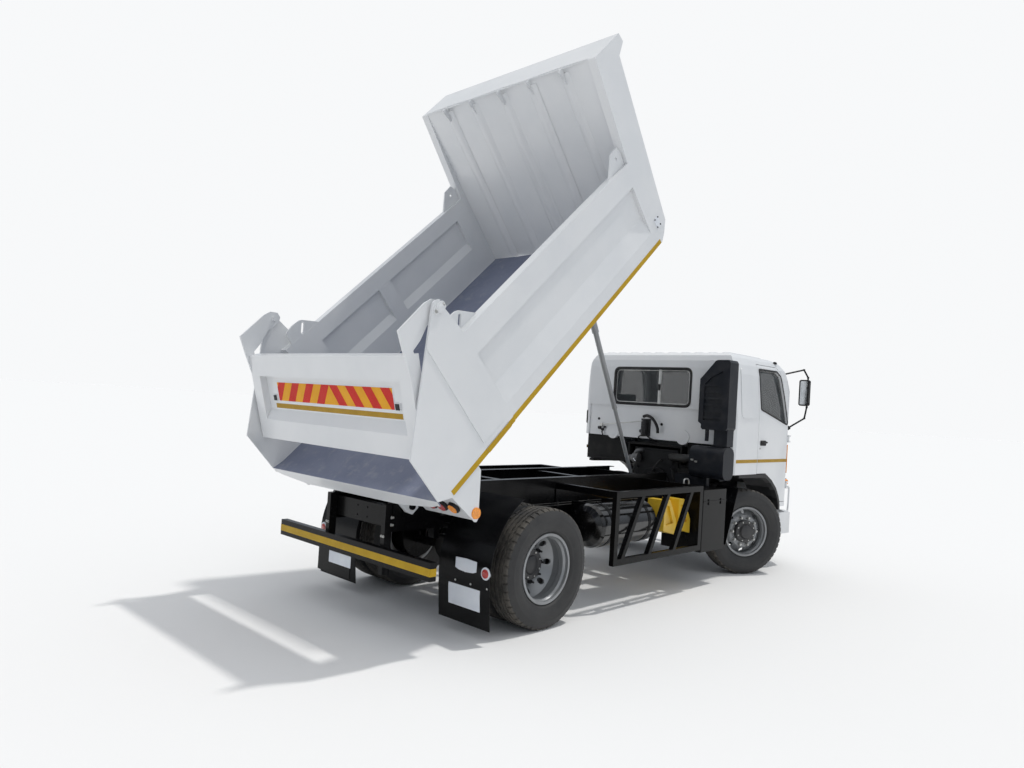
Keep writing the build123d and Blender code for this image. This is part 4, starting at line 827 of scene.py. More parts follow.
    def bolt(self, place: Point, axis: Point, size: float = 0.012, washer: bool = True) -> None:
        """A hexagon bolt head on its washer.

        Args:
            place: the middle of the surface it stands on.
            axis: the outward direction.
            size: half of the width across the head's corners.
            washer: whether there is a washer under it.
        """
        out = Vector(axis).normalized()
        start = Vector(place) - out * self.BOLT_SUNK
        if washer:
            reach = size * self.WASHER_REACH
            self.lathe(start, axis, [(0.0, reach), (self.WASHER_THICK, reach)], 16)
            start = start + out * self.WASHER_THICK
        height = size * self.HEAD_TALL
        along, across = self.HEAD_EDGE
        self.lathe(start, axis, [(0.0, size), (height * along, size), (height, size * across)], 6)

    def tube(self, points: Sequence[Point], radius: float, sides: int = 10, steps: int = 6) -> None:
        """A smooth round tube through points.

        Args:
            points: the points that it passes through.
            radius: its radius.
            sides: how many sides it has.
            steps: how many rings there are from one point to the next.
        """
        line = smooth_line([Vector(p) for p in points], steps)
        rings = []
        u = Vector((0.31, 0.52, 0.79))
        for k, centre in enumerate(line):
            ahead = line[min(k + 1, len(line) - 1)] - line[max(k - 1, 0)]
            ahead.normalize()
            u = (u - ahead * u.dot(ahead)).normalized()
            rings.append(self.ring(centre, u, ahead.cross(u), radius, sides))
        self.cap(rings)
        self.skin(rings)

    def done(
        self,
        body: Body,
        finishes: Sequence[bpy.types.Material],
        bevel: float = 0.0,
        segments: int = 2,
    ) -> bpy.types.Object:
        """Make the object, dress it and hang it on its body.

        Args:
            body: the CAD body that it rides on.
            finishes: its materials, in the order of finish_index.
            bevel: the width of broken edges, or zero.
            segments: how many steps a broken edge has.

        Returns:
            The new object.
        """
        bmesh.ops.transform(self.mesh, matrix=self.frame, verts=self.mesh.verts)
        bmesh.ops.recalc_face_normals(self.mesh, faces=self.mesh.faces)
        data = bpy.data.meshes.new(self.name)
        self.mesh.to_mesh(data)
        self.mesh.free()
        for material in finishes:
            data.materials.append(material)
        made = bpy.data.objects.new(self.name, data)
        bpy.context.scene.collection.objects.link(made)
        if bevel:
            broken = made.modifiers.new("edges", "BEVEL")
            broken.width = bevel
            broken.segments = segments
            broken.limit_method = "ANGLE"
            broken.angle_limit = self.EDGE_ANGLE
            broken.use_clamp_overlap = True
        data.polygons.foreach_set("use_smooth", [True] * len(data.polygons))
        data.set_sharp_from_angle(angle=SMOOTH_ANGLE)
        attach(made, body.value)
        LOG.info("made %s with %d faces", self.name, len(data.polygons))
        return made


def beside_axis(along: Vector) -> Vector:
    """A direction across an axis, towards the first point of its rings."""
    helper = Vector((0, 0, 1)) if abs(along.z) < 0.9 else Vector((1, 0, 0))
    return along.cross(helper).normalized()


def rounded_loop(outline: Sequence[Point], radius: float, steps: int = 6) -> list[Vector]:
    """A closed loop whose corners are rounded.

    Args:
        outline: the corners, in order.
        radius: the radius of every corner.
        steps: how many pieces each rounded corner has.

    Returns:
        The loop's points.
    """
    points = [Vector(p) for p in outline]
    loop = []
    for k, corner in enumerate(points):
        back = (points[k - 1] - corner).normalized()
        ahead = (points[(k + 1) % len(points)] - corner).normalized()
        half = back.angle(ahead) / 2
        reach = radius / math.tan(half)
        a, b = corner + back * reach, corner + ahead * reach
        for s in range(steps + 1):
            t = s / steps
            loop.append(a * (1 - t) ** 2 + corner * (2 * t * (1 - t)) + b * t**2)
    return loop


def rounded_plate(
    face: float, wide: Point, high: Point, radius: float, steps: int = 4, facing_y: bool = False
) -> list[Vector]:
    """A rectangle with rounded corners, upright at one value of x or of y.

    Args:
        face: the value of x, or of y where it faces along Y.
        wide: its ends along the other level axis.
        high: its ends in z.
        radius: the radius of every corner.
        steps: how many pieces each rounded corner has.
        facing_y: whether it faces along Y.

    Returns:
        The loop's points.
    """
    spots = [(wide[0], high[0]), (wide[1], high[0]), (wide[1], high[1]), (wide[0], high[1])]
    flat = [(w, face, z) if facing_y else (face, w, z) for w, z in spots]
    return rounded_loop(flat, radius, steps)


def shifted(points: Iterable[Point], x: float) -> list[Vector]:
    """Points moved along X."""
    return [Vector((px + x, y, z)) for px, y, z in points]


def denser(loop: Sequence[Vector], parts: int) -> list[Vector]:
    """A closed loop with new points on its long stretches.

    Args:
        loop: the loop's points.
        parts: how many pieces each long stretch is cut into.

    Returns:
        The loop's points with the new ones.
    """
    return [a.lerp(b, t / parts) for a, b in zip(loop, loop[1:] + loop[:1]) for t in range(parts)
            if (b - a).length > LONG_STRETCH or t == 0]


def clipped(points: Sequence[tuple[float, float]], limit: float) -> list[tuple[float, float]]:
    """The part of a flat outline whose first coordinate is under a limit.

    Args:
        points: the outline's corners, in order.
        limit: the limit.

    Returns:
        The corners of what is left.
    """
    kept = []
    for (x0, z0), (x1, z1) in zip(points, [*points[1:], points[0]]):
        if x0 <= limit:
            kept.append((x0, z0))
        if (x0 <= limit) != (x1 <= limit):
            t = (limit - x0) / (x1 - x0)
            kept.append((limit, z0 + (z1 - z0) * t))
    return kept


def smooth_line(points: list[Vector], steps: int) -> list[Vector]:
    """Points on a smooth line through the given points.

    Args:
        points: the points to pass through.
        steps: how many new points there are for each given one.

    Returns:
        The line's points.
    """
    if len(points) == 2:
        return list(points)
    line = []
    for k in range(len(points) - 1):
        p0 = points[max(k - 1, 0)]
        p1, p2 = points[k], points[k + 1]
        p3 = points[min(k + 2, len(points) - 1)]
        for s in range(steps):
            t = s / steps
            square, cube = 2 * p0 - 5 * p1 + 4 * p2 - p3, 3 * p1 - p0 - 3 * p2 + p3
            line.append(0.5 * (2 * p1 + (p2 - p0) * t + square * t * t + cube * t**3))
    return [*line, points[-1].copy()]


@dataclass
class Surface:
    """The surface of one CAD piece, found by shooting lines at it; all in the truck's frame."""

    frame: Mapping[str, Any]
    node: str

    def __post_init__(self) -> None:
        """Build the search tree from the piece's mesh."""
        mesh = self.frame["nodes"][self.node].data
        self.points = [v.co.copy() for v in mesh.vertices]
        self.tree = BVHTree.FromPolygons(self.points, [tuple(p.vertices) for p in mesh.polygons])

    def hit(self, start: Point, direction: Point, lift: float = 0.0) -> Vector:
        """Where a line first meets the surface.

        Args:
            start: the line's start.
            direction: its direction.
            lift: how far above the surface the result lies.

        Returns:
            The point, or the start where nothing is met.
        """
        place, normal, _, _ = self.tree.ray_cast(Vector(start) - ORIGIN, Vector(direction).normalized())
        if place is None:
            LOG.info("no surface of %s on the line from %s", self.node, tuple(start))
            return Vector(start)
        outward = normal if normal.dot(Vector(direction)) < 0 else -normal
        return place + outward * lift + ORIGIN

    def beside(self, side: Side, x: float, z: float, lift: float = 0.0) -> Vector:
        """Where a level line from one side of the truck meets the surface."""
        return self.hit((x, side.value * BESIDE, z), (0, -side.value, 0), lift)

    def ahead(self, y: float, z: float, lift: float = 0.0) -> Vector:
        """Where a level line from in front of the truck meets the surface."""
        return self.hit((AHEAD, y, z), (-1, 0, 0), lift)

    def above(self, x: float, y: float, lift: float = 0.0) -> Vector:
        """Where a line from above the truck meets the surface."""
        return self.hit((x, y, ABOVE), (0, 0, -1), lift)

    def span(self, origin: Point, direction: Point) -> tuple[float, float]:
        """How far the piece reaches along a line.

        Args:
            origin: the point that distances are counted from.
            direction: the line's direction, of length one.

        Returns:
            The least and the greatest distance.
        """
        base = Vector(origin) - ORIGIN
        reached = [(point - base).dot(Vector(direction)) for point in self.points]
        return min(reached), max(reached)


@dataclass
class Dressing:
    """The finish of each CAD node that keeps its own shape."""

    frame: Mapping[str, Any]
    finishes: Finishes
    nodes_by_finish: Mapping[str, Sequence[str]] = field(
        default_factory=lambda: {
            "white_paint": ("bed_sides", "headboard", "tailgate", "cab_roof", "cab_rear", "cab_front",
                            "door_left", "door_right", "front_bumper", "bed_underframe"),
            "floor_paint": ("bed_floor",),
            "black_paint": ("chassis_frame", "subframe", "front_axle", "rear_axle", "leaf_springs",
                            "driveline", "battery_box", "side_guards", "rear_bumper", "knuckle_left",
                            "knuckle_right", "silencer", "fuel_tank", "mudguards"),
            "tank_paint": ("air_tanks",),
            "hoist_paint": ("hoist_barrel", "hoist_stage_1", "hoist_stage_2", "hoist_rod"),
            "yellow_paint": ("wheel_chocks",),
            "rim_paint": ("rim_front_left", "rim_front_right", "rims_rear_left", "rims_rear_right"),
            "snorkel_plastic": ("intake_snorkel", "air_cleaner"),
            "black_plastic": ("mirrors", "grille"),
            "trim_plastic": ("dashboard", "steering_wheel"),
            "amber_lens": ("lamps_amber", "corner_lamps"),
            "red_lens": ("lamps_red",),
            "lamp_glazing": ("headlamps",),
            "cab_glazing": ("cab_glass", "door_glass_left", "door_glass_right"),
            "engine_iron": ("engine_block",),
            "floor_mat_and_painted_shade": ("cab_floor",),
            "seat_cloth": ("seats",),
            "tyre_side": ("tyre_front_left", "tyre_front_right", "tyres_rear_left", "tyres_rear_right"),
        }
    )

    def apply(self) -> None:
        """Give every node in the table its finish."""
        for finish, names in self.nodes_by_finish.items():
            material = self.finishes.made[finish]
            for name in names:
                node = self.frame["nodes"][name]
                node.data.materials.clear()
                node.data.materials.append(material)
            LOG.info("dressed %d nodes in %s", len(names), finish)


@dataclass
class Tyre:
    """One road tyre with its ribs, shoulder blocks and sidewall rings, about the Y axis."""

    outer: float = 0.512
    foot: float = 0.2864
    bead: float = 0.0936
    wall: tuple = ((0.318, 0.112), (0.326, 0.1165), (0.330, 0.1195), (0.336, 0.1205), (0.341, 0.1215),
                   (0.360, 0.1300), (0.385, 0.1350), (0.410, 0.1358), (0.430, 0.1345), (0.436, 0.1355),
                   (0.442, 0.1335), (0.458, 0.1290), (0.474, 0.1230), (0.486, 0.1180))
    shoulder: tuple = ((0.494, 0.1150), (0.503, 0.1080), (0.5075, 0.0960), (0.5090, 0.0790))
    groove: float = 0.013
    groove_places: tuple = ((0.066, 0.010), (0.024, 0.009))
    crown_drop: float = 0.002
    zigzag: float = 0.004
    pitches: int = 46
    block_steps: tuple = ((0.0, 0), (0.30, 0), (0.34, 1), (0.52, 1), (0.56, 0), (0.80, 0))
    blocks_y: Point = (0.076, 0.116)
    block_cut: float = 0.8

    def half_profile(self) -> list[tuple[float, float, int]]:
        """Half of the section from the bead to the shoulder.

        Returns:
            (y, radius, kind) triples, where kind is 0 on the sidewall and 1 on the tread.
        """
        foot = [(self.bead, self.foot, 0), (self.bead + 0.001, 0.3065, 0)]
        return [*foot, *((y, r, 0) for r, y in self.wall), *((y, r, 1) for r, y in self.shoulder)]

    def grooves(self) -> list[tuple[float, float]]:
        """The ribs and grooves, from the shoulder to the middle.

        Returns:
            (y, radius drop) pairs.
        """
        edges = ((1.0, 0.0), (0.75, self.groove), (-0.75, self.groove), (-1.0, 0.0))
        return [(y + half * part, drop) for y, half in self.groove_places for part, drop in edges]

    def build(self, form: Form, place: Matrix) -> None:
        """Add the tyre to a form.

        Args:
            form: the form that takes it.
            place: takes the tyre's own frame to the form's.
        """
        half = [(y, r, kind, 0.0) for y, r, kind in self.half_profile()]
        grooves = self.grooves()
        for index, (y, drop) in enumerate(grooves):
            wave = self.zigzag if index < len(grooves) / 2 else -self.zigzag
            half.append((y, self.outer - drop - self.crown_drop, 1, wave))
        mirrored = [(-y, r, kind, -wave) for y, r, kind, wave in reversed(half)]
        section = [*half, (0.0, self.outer, 1, 0.0), *mirrored]
        near, far = self.blocks_y
        rings = []
        for pitch, (part, sunk) in product(range(self.pitches), self.block_steps):
            angle = 2 * math.pi * (pitch + part) / self.pitches
            wave_at = abs(part - 0.5) * 4 - 1
            ring = []
            for y, radius, kind, wave in section:
                r = radius - (self.groove * self.block_cut if sunk and kind and near < abs(y) < far else 0.0)
                point = Vector((r * math.sin(angle), y + wave * wave_at, r * math.cos(angle)))
                ring.append(form.mesh.verts.new(place @ point))
            rings.append(ring)
        for low, high in zip(rings, rings[1:] + rings[:1]):
            for k in range(len(section) - 1):
                face = form.mesh.faces.new((low[k], low[k + 1], high[k + 1], high[k]))
                face.material_index = 1 if section[k][2] and section[k + 1][2] else 0
            form.mesh.faces.new((low[-1], low[0], high[0], high[-1]))


@dataclass
class Wheels:
    """The tyres' tread, the wheel nuts and the hub caps."""

    finishes: Finishes
    wheelbase: float = 3.900
    kingpin_y: float = 0.820
    steer: float = math.radians(-27.8)
    front_y: float = 1.005
    rear_y: float = 1.054
    dual: float = 0.312
    centre_z: float = 0.512
    nut_circle: float = 0.1675
    nuts: int = 10
    cap_bolts: int = 8
    cap_bolt_inset: float = 0.016
    front_cap: tuple = ((0.0525, 0.1370), (0.0940, 0.1370), (0.0990, 0.1320), (0.1010, 0.092),
                        (0.112, 0.086), (0.122, 0.078), (0.127, 0.062), (0.128, 0.0))
    rear_cap: tuple = ((-0.1415, 0.1320), (-0.0780, 0.1300), (-0.0740, 0.1260), (-0.074, 0.085),
                       (-0.066, 0.080), (-0.060, 0.070), (-0.058, 0.0))
    front_nuts: Point = (0.052, 0.010)
    rear_nuts: Point = (-0.142, 0.030)
    seat: tuple = ((0.0, 0.021), (0.006, 0.021), (0.010, 0.0185))
    nut: tuple = ((0.0, 0.0185), (0.020, 0.0185), (0.024, 0.0150))
    stud_r: float = 0.0095

    def front_place(self, side: Side) -> Matrix:
        """The frame of a front wheel, its outside towards +Y.

        Args:
            side: the truck's side.

        Returns:
            The matrix from the wheel's frame.
        """
        pin = Vector((self.wheelbase, side.value * self.kingpin_y, self.centre_z))
        turned = Matrix.Rotation(0.0 if side is Side.LEFT else math.pi, 4, "Z")
        steer = Matrix.Translation(pin) @ Matrix.Rotation(self.steer, 4, "Z") @ Matrix.Translation(-pin)
        middle = Matrix.Translation((self.wheelbase, side.value * self.front_y, self.centre_z))
        return steer @ middle @ turned

    def rear_place(self, side: Side, inner: bool) -> Matrix:
        """The frame of a rear wheel, its outside towards +Y.

        Args:
            side: the truck's side.
            inner: whether it is the inner one of the twins.

        Returns:
            The matrix from the wheel's frame.
        """
        turned = Matrix.Rotation(0.0 if side is Side.LEFT else math.pi, 4, "Z")
        y = self.rear_y - (self.dual if inner else 0.0)
        return Matrix.Translation((0.0, side.value * y, self.centre_z)) @ turned

    def nut_ring(self, form: Form, place: Matrix, face_y: float, stud: float) -> None:
        """The nuts with their studs on a disc's outer face.

        Args:
            form: the form that takes them.
            place: the wheel's frame.
            face_y: where the disc's outer face lies.
            stud: how far the studs stand out of the nuts.
        """
        out = place.to_3x3() @ Vector((0.0, 1.0, 0.0))
        end = [(0.0, self.stud_r), (stud, self.stud_r), (stud + 0.002, 0.007)]
        for k in range(self.nuts):
            angle = 2 * math.pi * k / self.nuts
            spot = Vector((math.cos(angle) * self.nut_circle, face_y, math.sin(angle) * self.nut_circle))
            base = place @ spot
            form.lathe(base, out, self.seat, 16)
            form.lathe(base + out * 0.008, out, self.nut, 6)
            form.lathe(base + out * 0.028, out, end, 10)

    def hub_cap(self, name: str, place: Matrix, body: Body, cap: Sequence[Point]) -> None:
        """A dark cap over the hub, with a ring of small bolts.

        Args:
            name: the piece's name.
            place: the wheel's frame.
            body: the body that it rides on.
            cap: the cap's profile as (distance, radius) from the wheel's middle outward.
        """
        form = Form(name)
        out = place.to_3x3() @ Vector((0.0, 1.0, 0.0))
        form.lathe(place.translation, out, cap, 48)
        rim_at, rim_r = cap[2]
        form.finish_index = 1
        for k in range(self.cap_bolts):
            angle = 2 * math.pi * (k + 0.5) / self.cap_bolts
            reach = rim_r - self.cap_bolt_inset
            spot = place @ Vector((math.cos(angle) * reach, rim_at, math.sin(angle) * reach))
            form.bolt(spot, out, 0.0085, False)
        form.done(body, self.finishes.pick("hub_paint", "zinc"))

    def build(self) -> None:
        """Make every wheel's dressing."""
        for side in Side:
            rear = [self.rear_place(side, inner) for inner in (False, True)]
            for end, node, body, places, nuts, metal, cap in (
                ("front", "tyre_front", Body[f"WHEEL_FRONT_{side.name}"], [self.front_place(side)],
                 self.front_nuts, "zinc", self.front_cap),
                ("rear", "tyres_rear", Body[f"WHEELS_REAR_{side.name}"], rear, self.rear_nuts, "cast_metal",
                 self.rear_cap),
            ):
                form = Form(f"tyre_tread_{end}_{side.word}")
                for place in places:
                    Tyre().build(form, place)
                made = form.done(body, self.finishes.pick("tyre_side", "tyre_tread"))
                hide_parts(f"{node}_{side.word}")
                form = Form(f"wheel_nuts_{end}_{side.word}")
                self.nut_ring(form, places[0], *nuts)
                form.done(body, self.finishes.pick(metal))
                self.hub_cap(f"hub_cap_{end}_{side.word}", places[0], body, cap)


@dataclass
class Stripes:
    """The yellow strips and the red and yellow board."""

    finishes: Finishes
    thick: float = 0.0012
    sunk: float = 0.001
    strip_z: Point = (0.001, 0.045)
    bin_runs: tuple = (((0.02, 0.48), 1.198), ((0.48, 0.79), 1.204), ((0.79, 0.85), 1.198),
                       ((0.85, 3.50), 1.190))
    board_half: float = 0.84
    board_z: Point = (-0.4188, -0.2531)
    recess: float = 0.060
    stripe: float = 0.115
    pitch: float = 0.231
    slant: float = 0.11
    stripes: int = 4
    board_edge: float = 0.008
    lamp_ys: Point = (0.893, -0.888)
    gate_y: Point = (-0.925, 0.915)
    gate_z: Point = (-0.4885, -0.4455)
    bar_x: float = -1.230
    bar_half: float = 1.080
    bar_z: Point = (0.577, 0.635)
    bar_return: float = 0.060
    cab_z: Point = (1.350, 1.390)

    def build(self) -> None:
        """Make every strip."""
        self.make_bin_edges()
        self.make_board()
        self.make_gate_strip()
        self.make_bar_strip()
        self.make_cab_strips()

    def make_bin_edges(self) -> None:
        """The strip along the bottom edge of each side of the bin."""
        form = Form("bin_edge_strips", BIN)
        for side in Side:
            for x, y in self.bin_runs:
                form.block(x, side.span(y - self.sunk, y + self.thick), self.strip_z)
        form.done(Body.BED, self.finishes.pick("yellow_tape"))

    def make_board(self) -> None:
        """The board in the gate's recess, with its slanted stripes and its two small lamps."""
        form = Form("gate_board", GATE)
        low, high = self.board_z
        edge, front, half = self.board_edge, self.recess, self.board_half
        form.block((front - 0.0020, front + self.sunk), (-half - edge, half + edge),
                   (low - edge, high + edge))
        form.finish_index = 1
        form.block((front - 0.0026, front - self.sunk), (-half, half), (low, high))
        form.finish_index = 2
        for side in Side:
            for k in range(self.stripes):
                start = self.pitch * k
                end = start + self.stripe
                slanted = [(start, high), (end, high), (end + self.slant, low), (start + self.slant, low)]
                shape = clipped(slanted, half)
                form.solid([(front - 0.0032, side.value * y, z) for y, z in shape], (0.0012, 0.0, 0.0))
        form.done(Body.GATE, self.finishes.pick("white_tape", "orange_tape", "red_tape"))
        lamps = Form("gate_board_lamps", GATE)
        for y in self.lamp_ys:
            lamps.finish_index = 0
            lamps.block((front - 0.010, front + 0.001), (y - 0.030, y + 0.030), (-0.424, -0.364))
            lamps.finish_index = 1
            lamps.block((front - 0.016, front - 0.008), (y - 0.024, y + 0.024), (-0.418, -0.370))
        lamps.done(Body.GATE, self.finishes.pick("white_paint", "black_plastic"), 0.003)

    def make_gate_strip(self) -> None:
        """The strip under the board."""
        form = Form("gate_strip", GATE)
        form.block((self.recess - self.thick, self.recess + self.sunk), self.gate_y, self.gate_z)
        form.done(Body.GATE, self.finishes.pick("ochre_tape"))

    def make_bar_strip(self) -> None:
        """The strip along the rear bar, which turns its corners."""
        form = Form("rear_bar_strip")
        face, half = self.bar_x, self.bar_half
        end = half + self.thick
        form.block((face - self.thick, face + self.sunk), (-end, end), self.bar_z)
        for side in Side:
            form.block((face, face + self.bar_return), side.span(half - self.sunk, end), self.bar_z)
        form.done(Body.CHASSIS, self.finishes.pick("yellow_tape"))

    def make_cab_strips(self) -> None:
        """The strip round the cab's sides, in a piece for each panel."""
        low, high = self.cab_z
        stand, sunk = self.thick * 1.4, 0.6
        for side in Side:
            for name, body, runs in (
                ("rear", Body.CAB, [((3.345, 1.110), (3.884, 1.110))]),
                ("door", Body[f"DOOR_{side.name}"],
                 [((3.896, 1.110), (4.720, 1.110)), ((4.720, 1.110), (4.741, 1.1007))]),
                ("front", Body.CAB, [((4.755, 1.0945), (4.810, 1.070))]),
            ):
                form = Form(f"cab_strip_{name}_{side.word}")
                for (x0, y0), (x1, y1) in runs:
                    y0, y1 = side.value * y0, side.value * y1
                    out = Vector((y1 - y0, -(x1 - x0), 0.0)).normalized() * stand
                    out = out if out.y * side.value > 0 else -out
                    outline = ((x0, y0, low), (x1, y1, low), (x1, y1, high), (x0, y0, high))
                    form.solid([Vector(spot) - out * sunk for spot in outline], out * (1 + sunk))
                form.done(body, self.finishes.pick("ochre_tape"))


@dataclass
class TailTrim:
    """The lamps' bezels, the blank plates, the round reflectors and the bolts at the rear."""

    finishes: Finishes
    lamp_ys: Point = (1.090, 0.960, 0.840)
    lamp_z: float = -0.150
    board_lean: float = 0.1671
    bezel: tuple = ((-0.004, 0.041), (0.022, 0.0405), (0.028, 0.0425), (0.016, 0.052), (0.0, 0.054))
    reflector_rim: tuple = ((-0.001, 0.0395), (0.0095, 0.0395), (0.0095, 0.043), (-0.001, 0.046))
    plaque: tuple = ((0.805, 0.627), (0.926, 0.634), (1.048, 0.627), (1.048, 0.545), (1.010, 0.533),
                     (0.926, 0.526), (0.842, 0.533), (0.805, 0.545))
    flap_plate: tuple = ((-0.7215, 0.411), (-0.7160, 0.411), (-0.7160, 0.370), (-0.7040, 0.240),
                         (-0.7097, 0.240), (-0.7215, 0.370))

    def build(self) -> None:
        """Make the tail's trim."""
        self.make_bezels()
        self.make_flap_trim()
        self.make_plate()
        self.make_bolts()

    def make_bezels(self) -> None:
        """A rubber ring round each lamp and an amber rim round each side reflector."""
        form = Form("lamp_bezels", BIN)
        face = 0.004 + (0.040 - self.lamp_z) * self.board_lean
        for side in Side:
            for y in self.lamp_ys:
                base = (face - 0.005, side.value * y, self.lamp_z)
                form.hoop(base, (-1, 0, 0), self.bezel)
        form.done(Body.BED, self.finishes.pick("seal_rubber"))
        rims = Form("side_reflector_rims", BIN)
        for side in Side:
            base = (0.098, side.value * 1.190, -0.272)
            rims.hoop(base, (0, side.value, 0), self.reflector_rim)
        rims.done(Body.BED, self.finishes.pick("amber_lens"))

    def make_flap_trim(self) -> None:
        """The red reflector on each rear mudguard, and the blank plaque and plate on the right one."""
        back = (-1, 0, 0)
        for side in Side:
            if side is Side.RIGHT:
                form = Form(f"flap_plaque_{side.word}")
                form.solid([(-0.7290, side.value * y, z) for y, z in self.plaque], (0.008, 0.0, 0.0))
                form.side(self.flap_plate, side.span(0.727, 1.095))
                form.done(Body.CHASSIS, self.finishes.pick("white_tape"), 0.0015)
            mark = Form(f"flap_reflector_{side.word}")
            base = (-0.7185, side.value * 1.150, 0.555)
            mark.lathe(base, back, [(-0.004, 0.050), (0.006, 0.050), (0.009, 0.046)], 36)
            mark.finish_index = 1
            mark.lathe(base, back, [(0.008, 0.036), (0.013, 0.035), (0.016, 0.030), (0.017, 0.0)], 36)
            mark.done(Body.CHASSIS, self.finishes.pick("white_tape", "red_lens"))

    def make_plate(self) -> None:
        """The blank number plate on its bracket under the bar."""
        form = Form("number_plate")
        form.block((-1.2245, -1.2215), (-0.060, 0.262), (0.440, 0.552))
        form.done(Body.CHASSIS, self.finishes.pick("white_tape"), 0.001)

    def make_bolts(self) -> None:
        """The bolts on the rear mudguards, at the rails' rear ends and on the bar's posts."""
        form = Form("tail_bolts")
        for side in Side:
            sign = side.value
            for y in (0.81, 0.99, 1.176):
                form.bolt((-0.7175, sign * y, 0.443), (-1, 0, 0), 0.009)
            for z in (0.85, 0.91):
                form.bolt((-1.102, sign * 0.425, z), (0, sign, 0), 0.012)
            for y in (0.387, 0.413):
                form.bolt((-1.172, sign * y, 0.76), (-1, 0, 0), 0.008)
        form.done(Body.CHASSIS, self.finishes.pick("zinc"))


@dataclass
class CabTrim:
    """The cab's seals, roof ribs, handles, mirrors' glass, wipers, corner lamps and rear wall gear."""

    frame: Mapping[str, Any]
    finishes: Finishes
    wall_x: float = 3.270
    rear_window: tuple = ((-0.500, 1.982), (-0.500, 2.450), (0.640, 2.450), (0.640, 1.982))
    door_window: tuple = ((3.960, 2.012), (3.937, 2.490), (4.430, 2.490), (4.522, 2.440), (4.600, 2.200),
                          (4.690, 1.846), (4.640, 1.850))
    windscreen: tuple = ((-0.980, 1.830), (-0.900, 2.500), (0.900, 2.500), (0.980, 1.830))
    rib_ys: tuple = (-0.86, -0.67, -0.48, -0.29, -0.10, 0.10, 0.29, 0.48, 0.67, 0.86)
    rib_x: Point = (3.325, 4.52)
    rib_height: float = 0.011
    rib_half: float = 0.052
    window_middle: float = 2.2
    door_middle: Point = (4.30, 0.0, 2.17)
    handle: tuple = ((3.962, 0.004), (3.975, 0.026), (4.030, 0.034), (4.078, 0.026), (4.092, 0.004))
    pump_body: tuple = ((0, 0.030), (0.010, 0.036), (0.115, 0.036), (0.125, 0.026), (0.190, 0.024),
                        (0.200, 0.014))
    pump_handle: tuple = ((-0.040, 0.140, 1.826), (-0.050, 0.080, 1.842), (-0.056, 0.000, 1.812),
                          (-0.056, -0.056, 1.752), (-0.050, -0.082, 1.690), (-0.044, -0.086, 1.630))
    pump_hoses: tuple = (
        (((-0.034, 0.100, 1.600), (-0.050, 0.040, 1.568), (-0.020, -0.010, 1.540), (0.060, -0.020, 1.520)),
         0.011),
        (((-0.034, 0.140, 1.598), (-0.040, 0.200, 1.560), (0.050, 0.220, 1.530)), 0.009),
    )
    pump_rod: tuple = ((-0.026, 0.150, 1.772), (-0.030, 0.300, 1.750), (-0.030, 0.560, 1.716),
                       (-0.026, 0.822, 1.686))

    def build(self) -> None:
        """Make all of the cab's trim."""
        self.make_rear_window()
        self.make_windscreen()
        self.make_roof_ribs()
        for side in Side:
            self.make_door_trim(side)
            self.make_mirror_glass(side)
            self.make_corner_parts(side)
        self.make_wipers()
        self.make_pump()
        self.make_front()

    def make_rear_window(self) -> None:
        """The rear window's seal, its divider with a latch, and its inner frame."""
        form = Form("rear_window_seal")
        loop = rounded_loop([(self.wall_x, y, z) for y, z in self.rear_window], 0.075)
        form.bead(loop, (0.015, 0.008), (1, 0, 0))
        form.done(Body.CAB, self.finishes.pick("seal_rubber"))
        glass = Surface(self.frame, "cab_glass").hit((3.0, -0.15, 2.2), (1, 0, 0)).x
        form = Form("rear_window_frame")
        inset, middle = 0.026, self.window_middle
        inner = [(glass - 0.001, y - math.copysign(inset, y), z - math.copysign(inset, z - middle))
                 for y, z in self.rear_window]
        form.bead(rounded_loop(inner, 0.060), (0.0055, 0.006), (1, 0, 0))
        form.block((glass - 0.010, glass + 0.002), (-0.052, -0.030), (1.994, 2.438))
        form.block((glass - 0.006, glass + 0.002), (-0.068, -0.052), (1.994, 2.438))
        form.finish_index = 1
        form.block((glass - 0.020, glass - 0.004), (-0.058, -0.036), (2.170, 2.250))
        form.done(Body.CAB, self.finishes.pick("zinc", "black_plastic"), 0.002)

    def make_windscreen(self) -> None:
        """The windscreen's seal, laid on the curved front."""
        front = Surface(self.frame, "cab_front")
        form = Form("windscreen_seal")
        wider, taller = 1.012, 0.012
        outline = [(0.0, y * wider, z + math.copysign(taller, z - self.window_middle))
                   for y, z in self.windscreen]
        loop = [front.ahead(p.y, p.z) for p in denser(rounded_loop(outline, 0.080, 8), 6)]
        form.bead(loop, (0.016, 0.007), (-1, 0, 0))
        form.done(Body.CAB, self.finishes.pick("seal_rubber"))

    def make_roof_ribs(self) -> None:
        """The shallow ribs pressed into the roof, front to rear."""
        roof = Surface(self.frame, "cab_roof")
        form = Form("roof_ribs")
        x0, x1 = self.rib_x
        steps, across, sunk = 14, 8, 0.001
        for y in self.rib_ys:
            rows = []
            for i in range(steps + 1):
                x = x0 + (x1 - x0) * i / steps
                height = 0.0 if i in (0, steps) else self.rib_height
                row = []
                for j in range(across + 1):
                    u = 2 * j / across - 1
                    rise = height * math.cos(u * math.pi / 2) ** 1.2 - sunk
                    row.append(form.mesh.verts.new(roof.above(x, y + u * self.rib_half, rise)))
                rows.append(row)
            for low, high in zip(rows, rows[1:]):
                for j in range(across):
                    form.mesh.faces.new((low[j], low[j + 1], high[j + 1], high[j]))
        form.done(Body.CAB, self.finishes.pick("white_paint"))

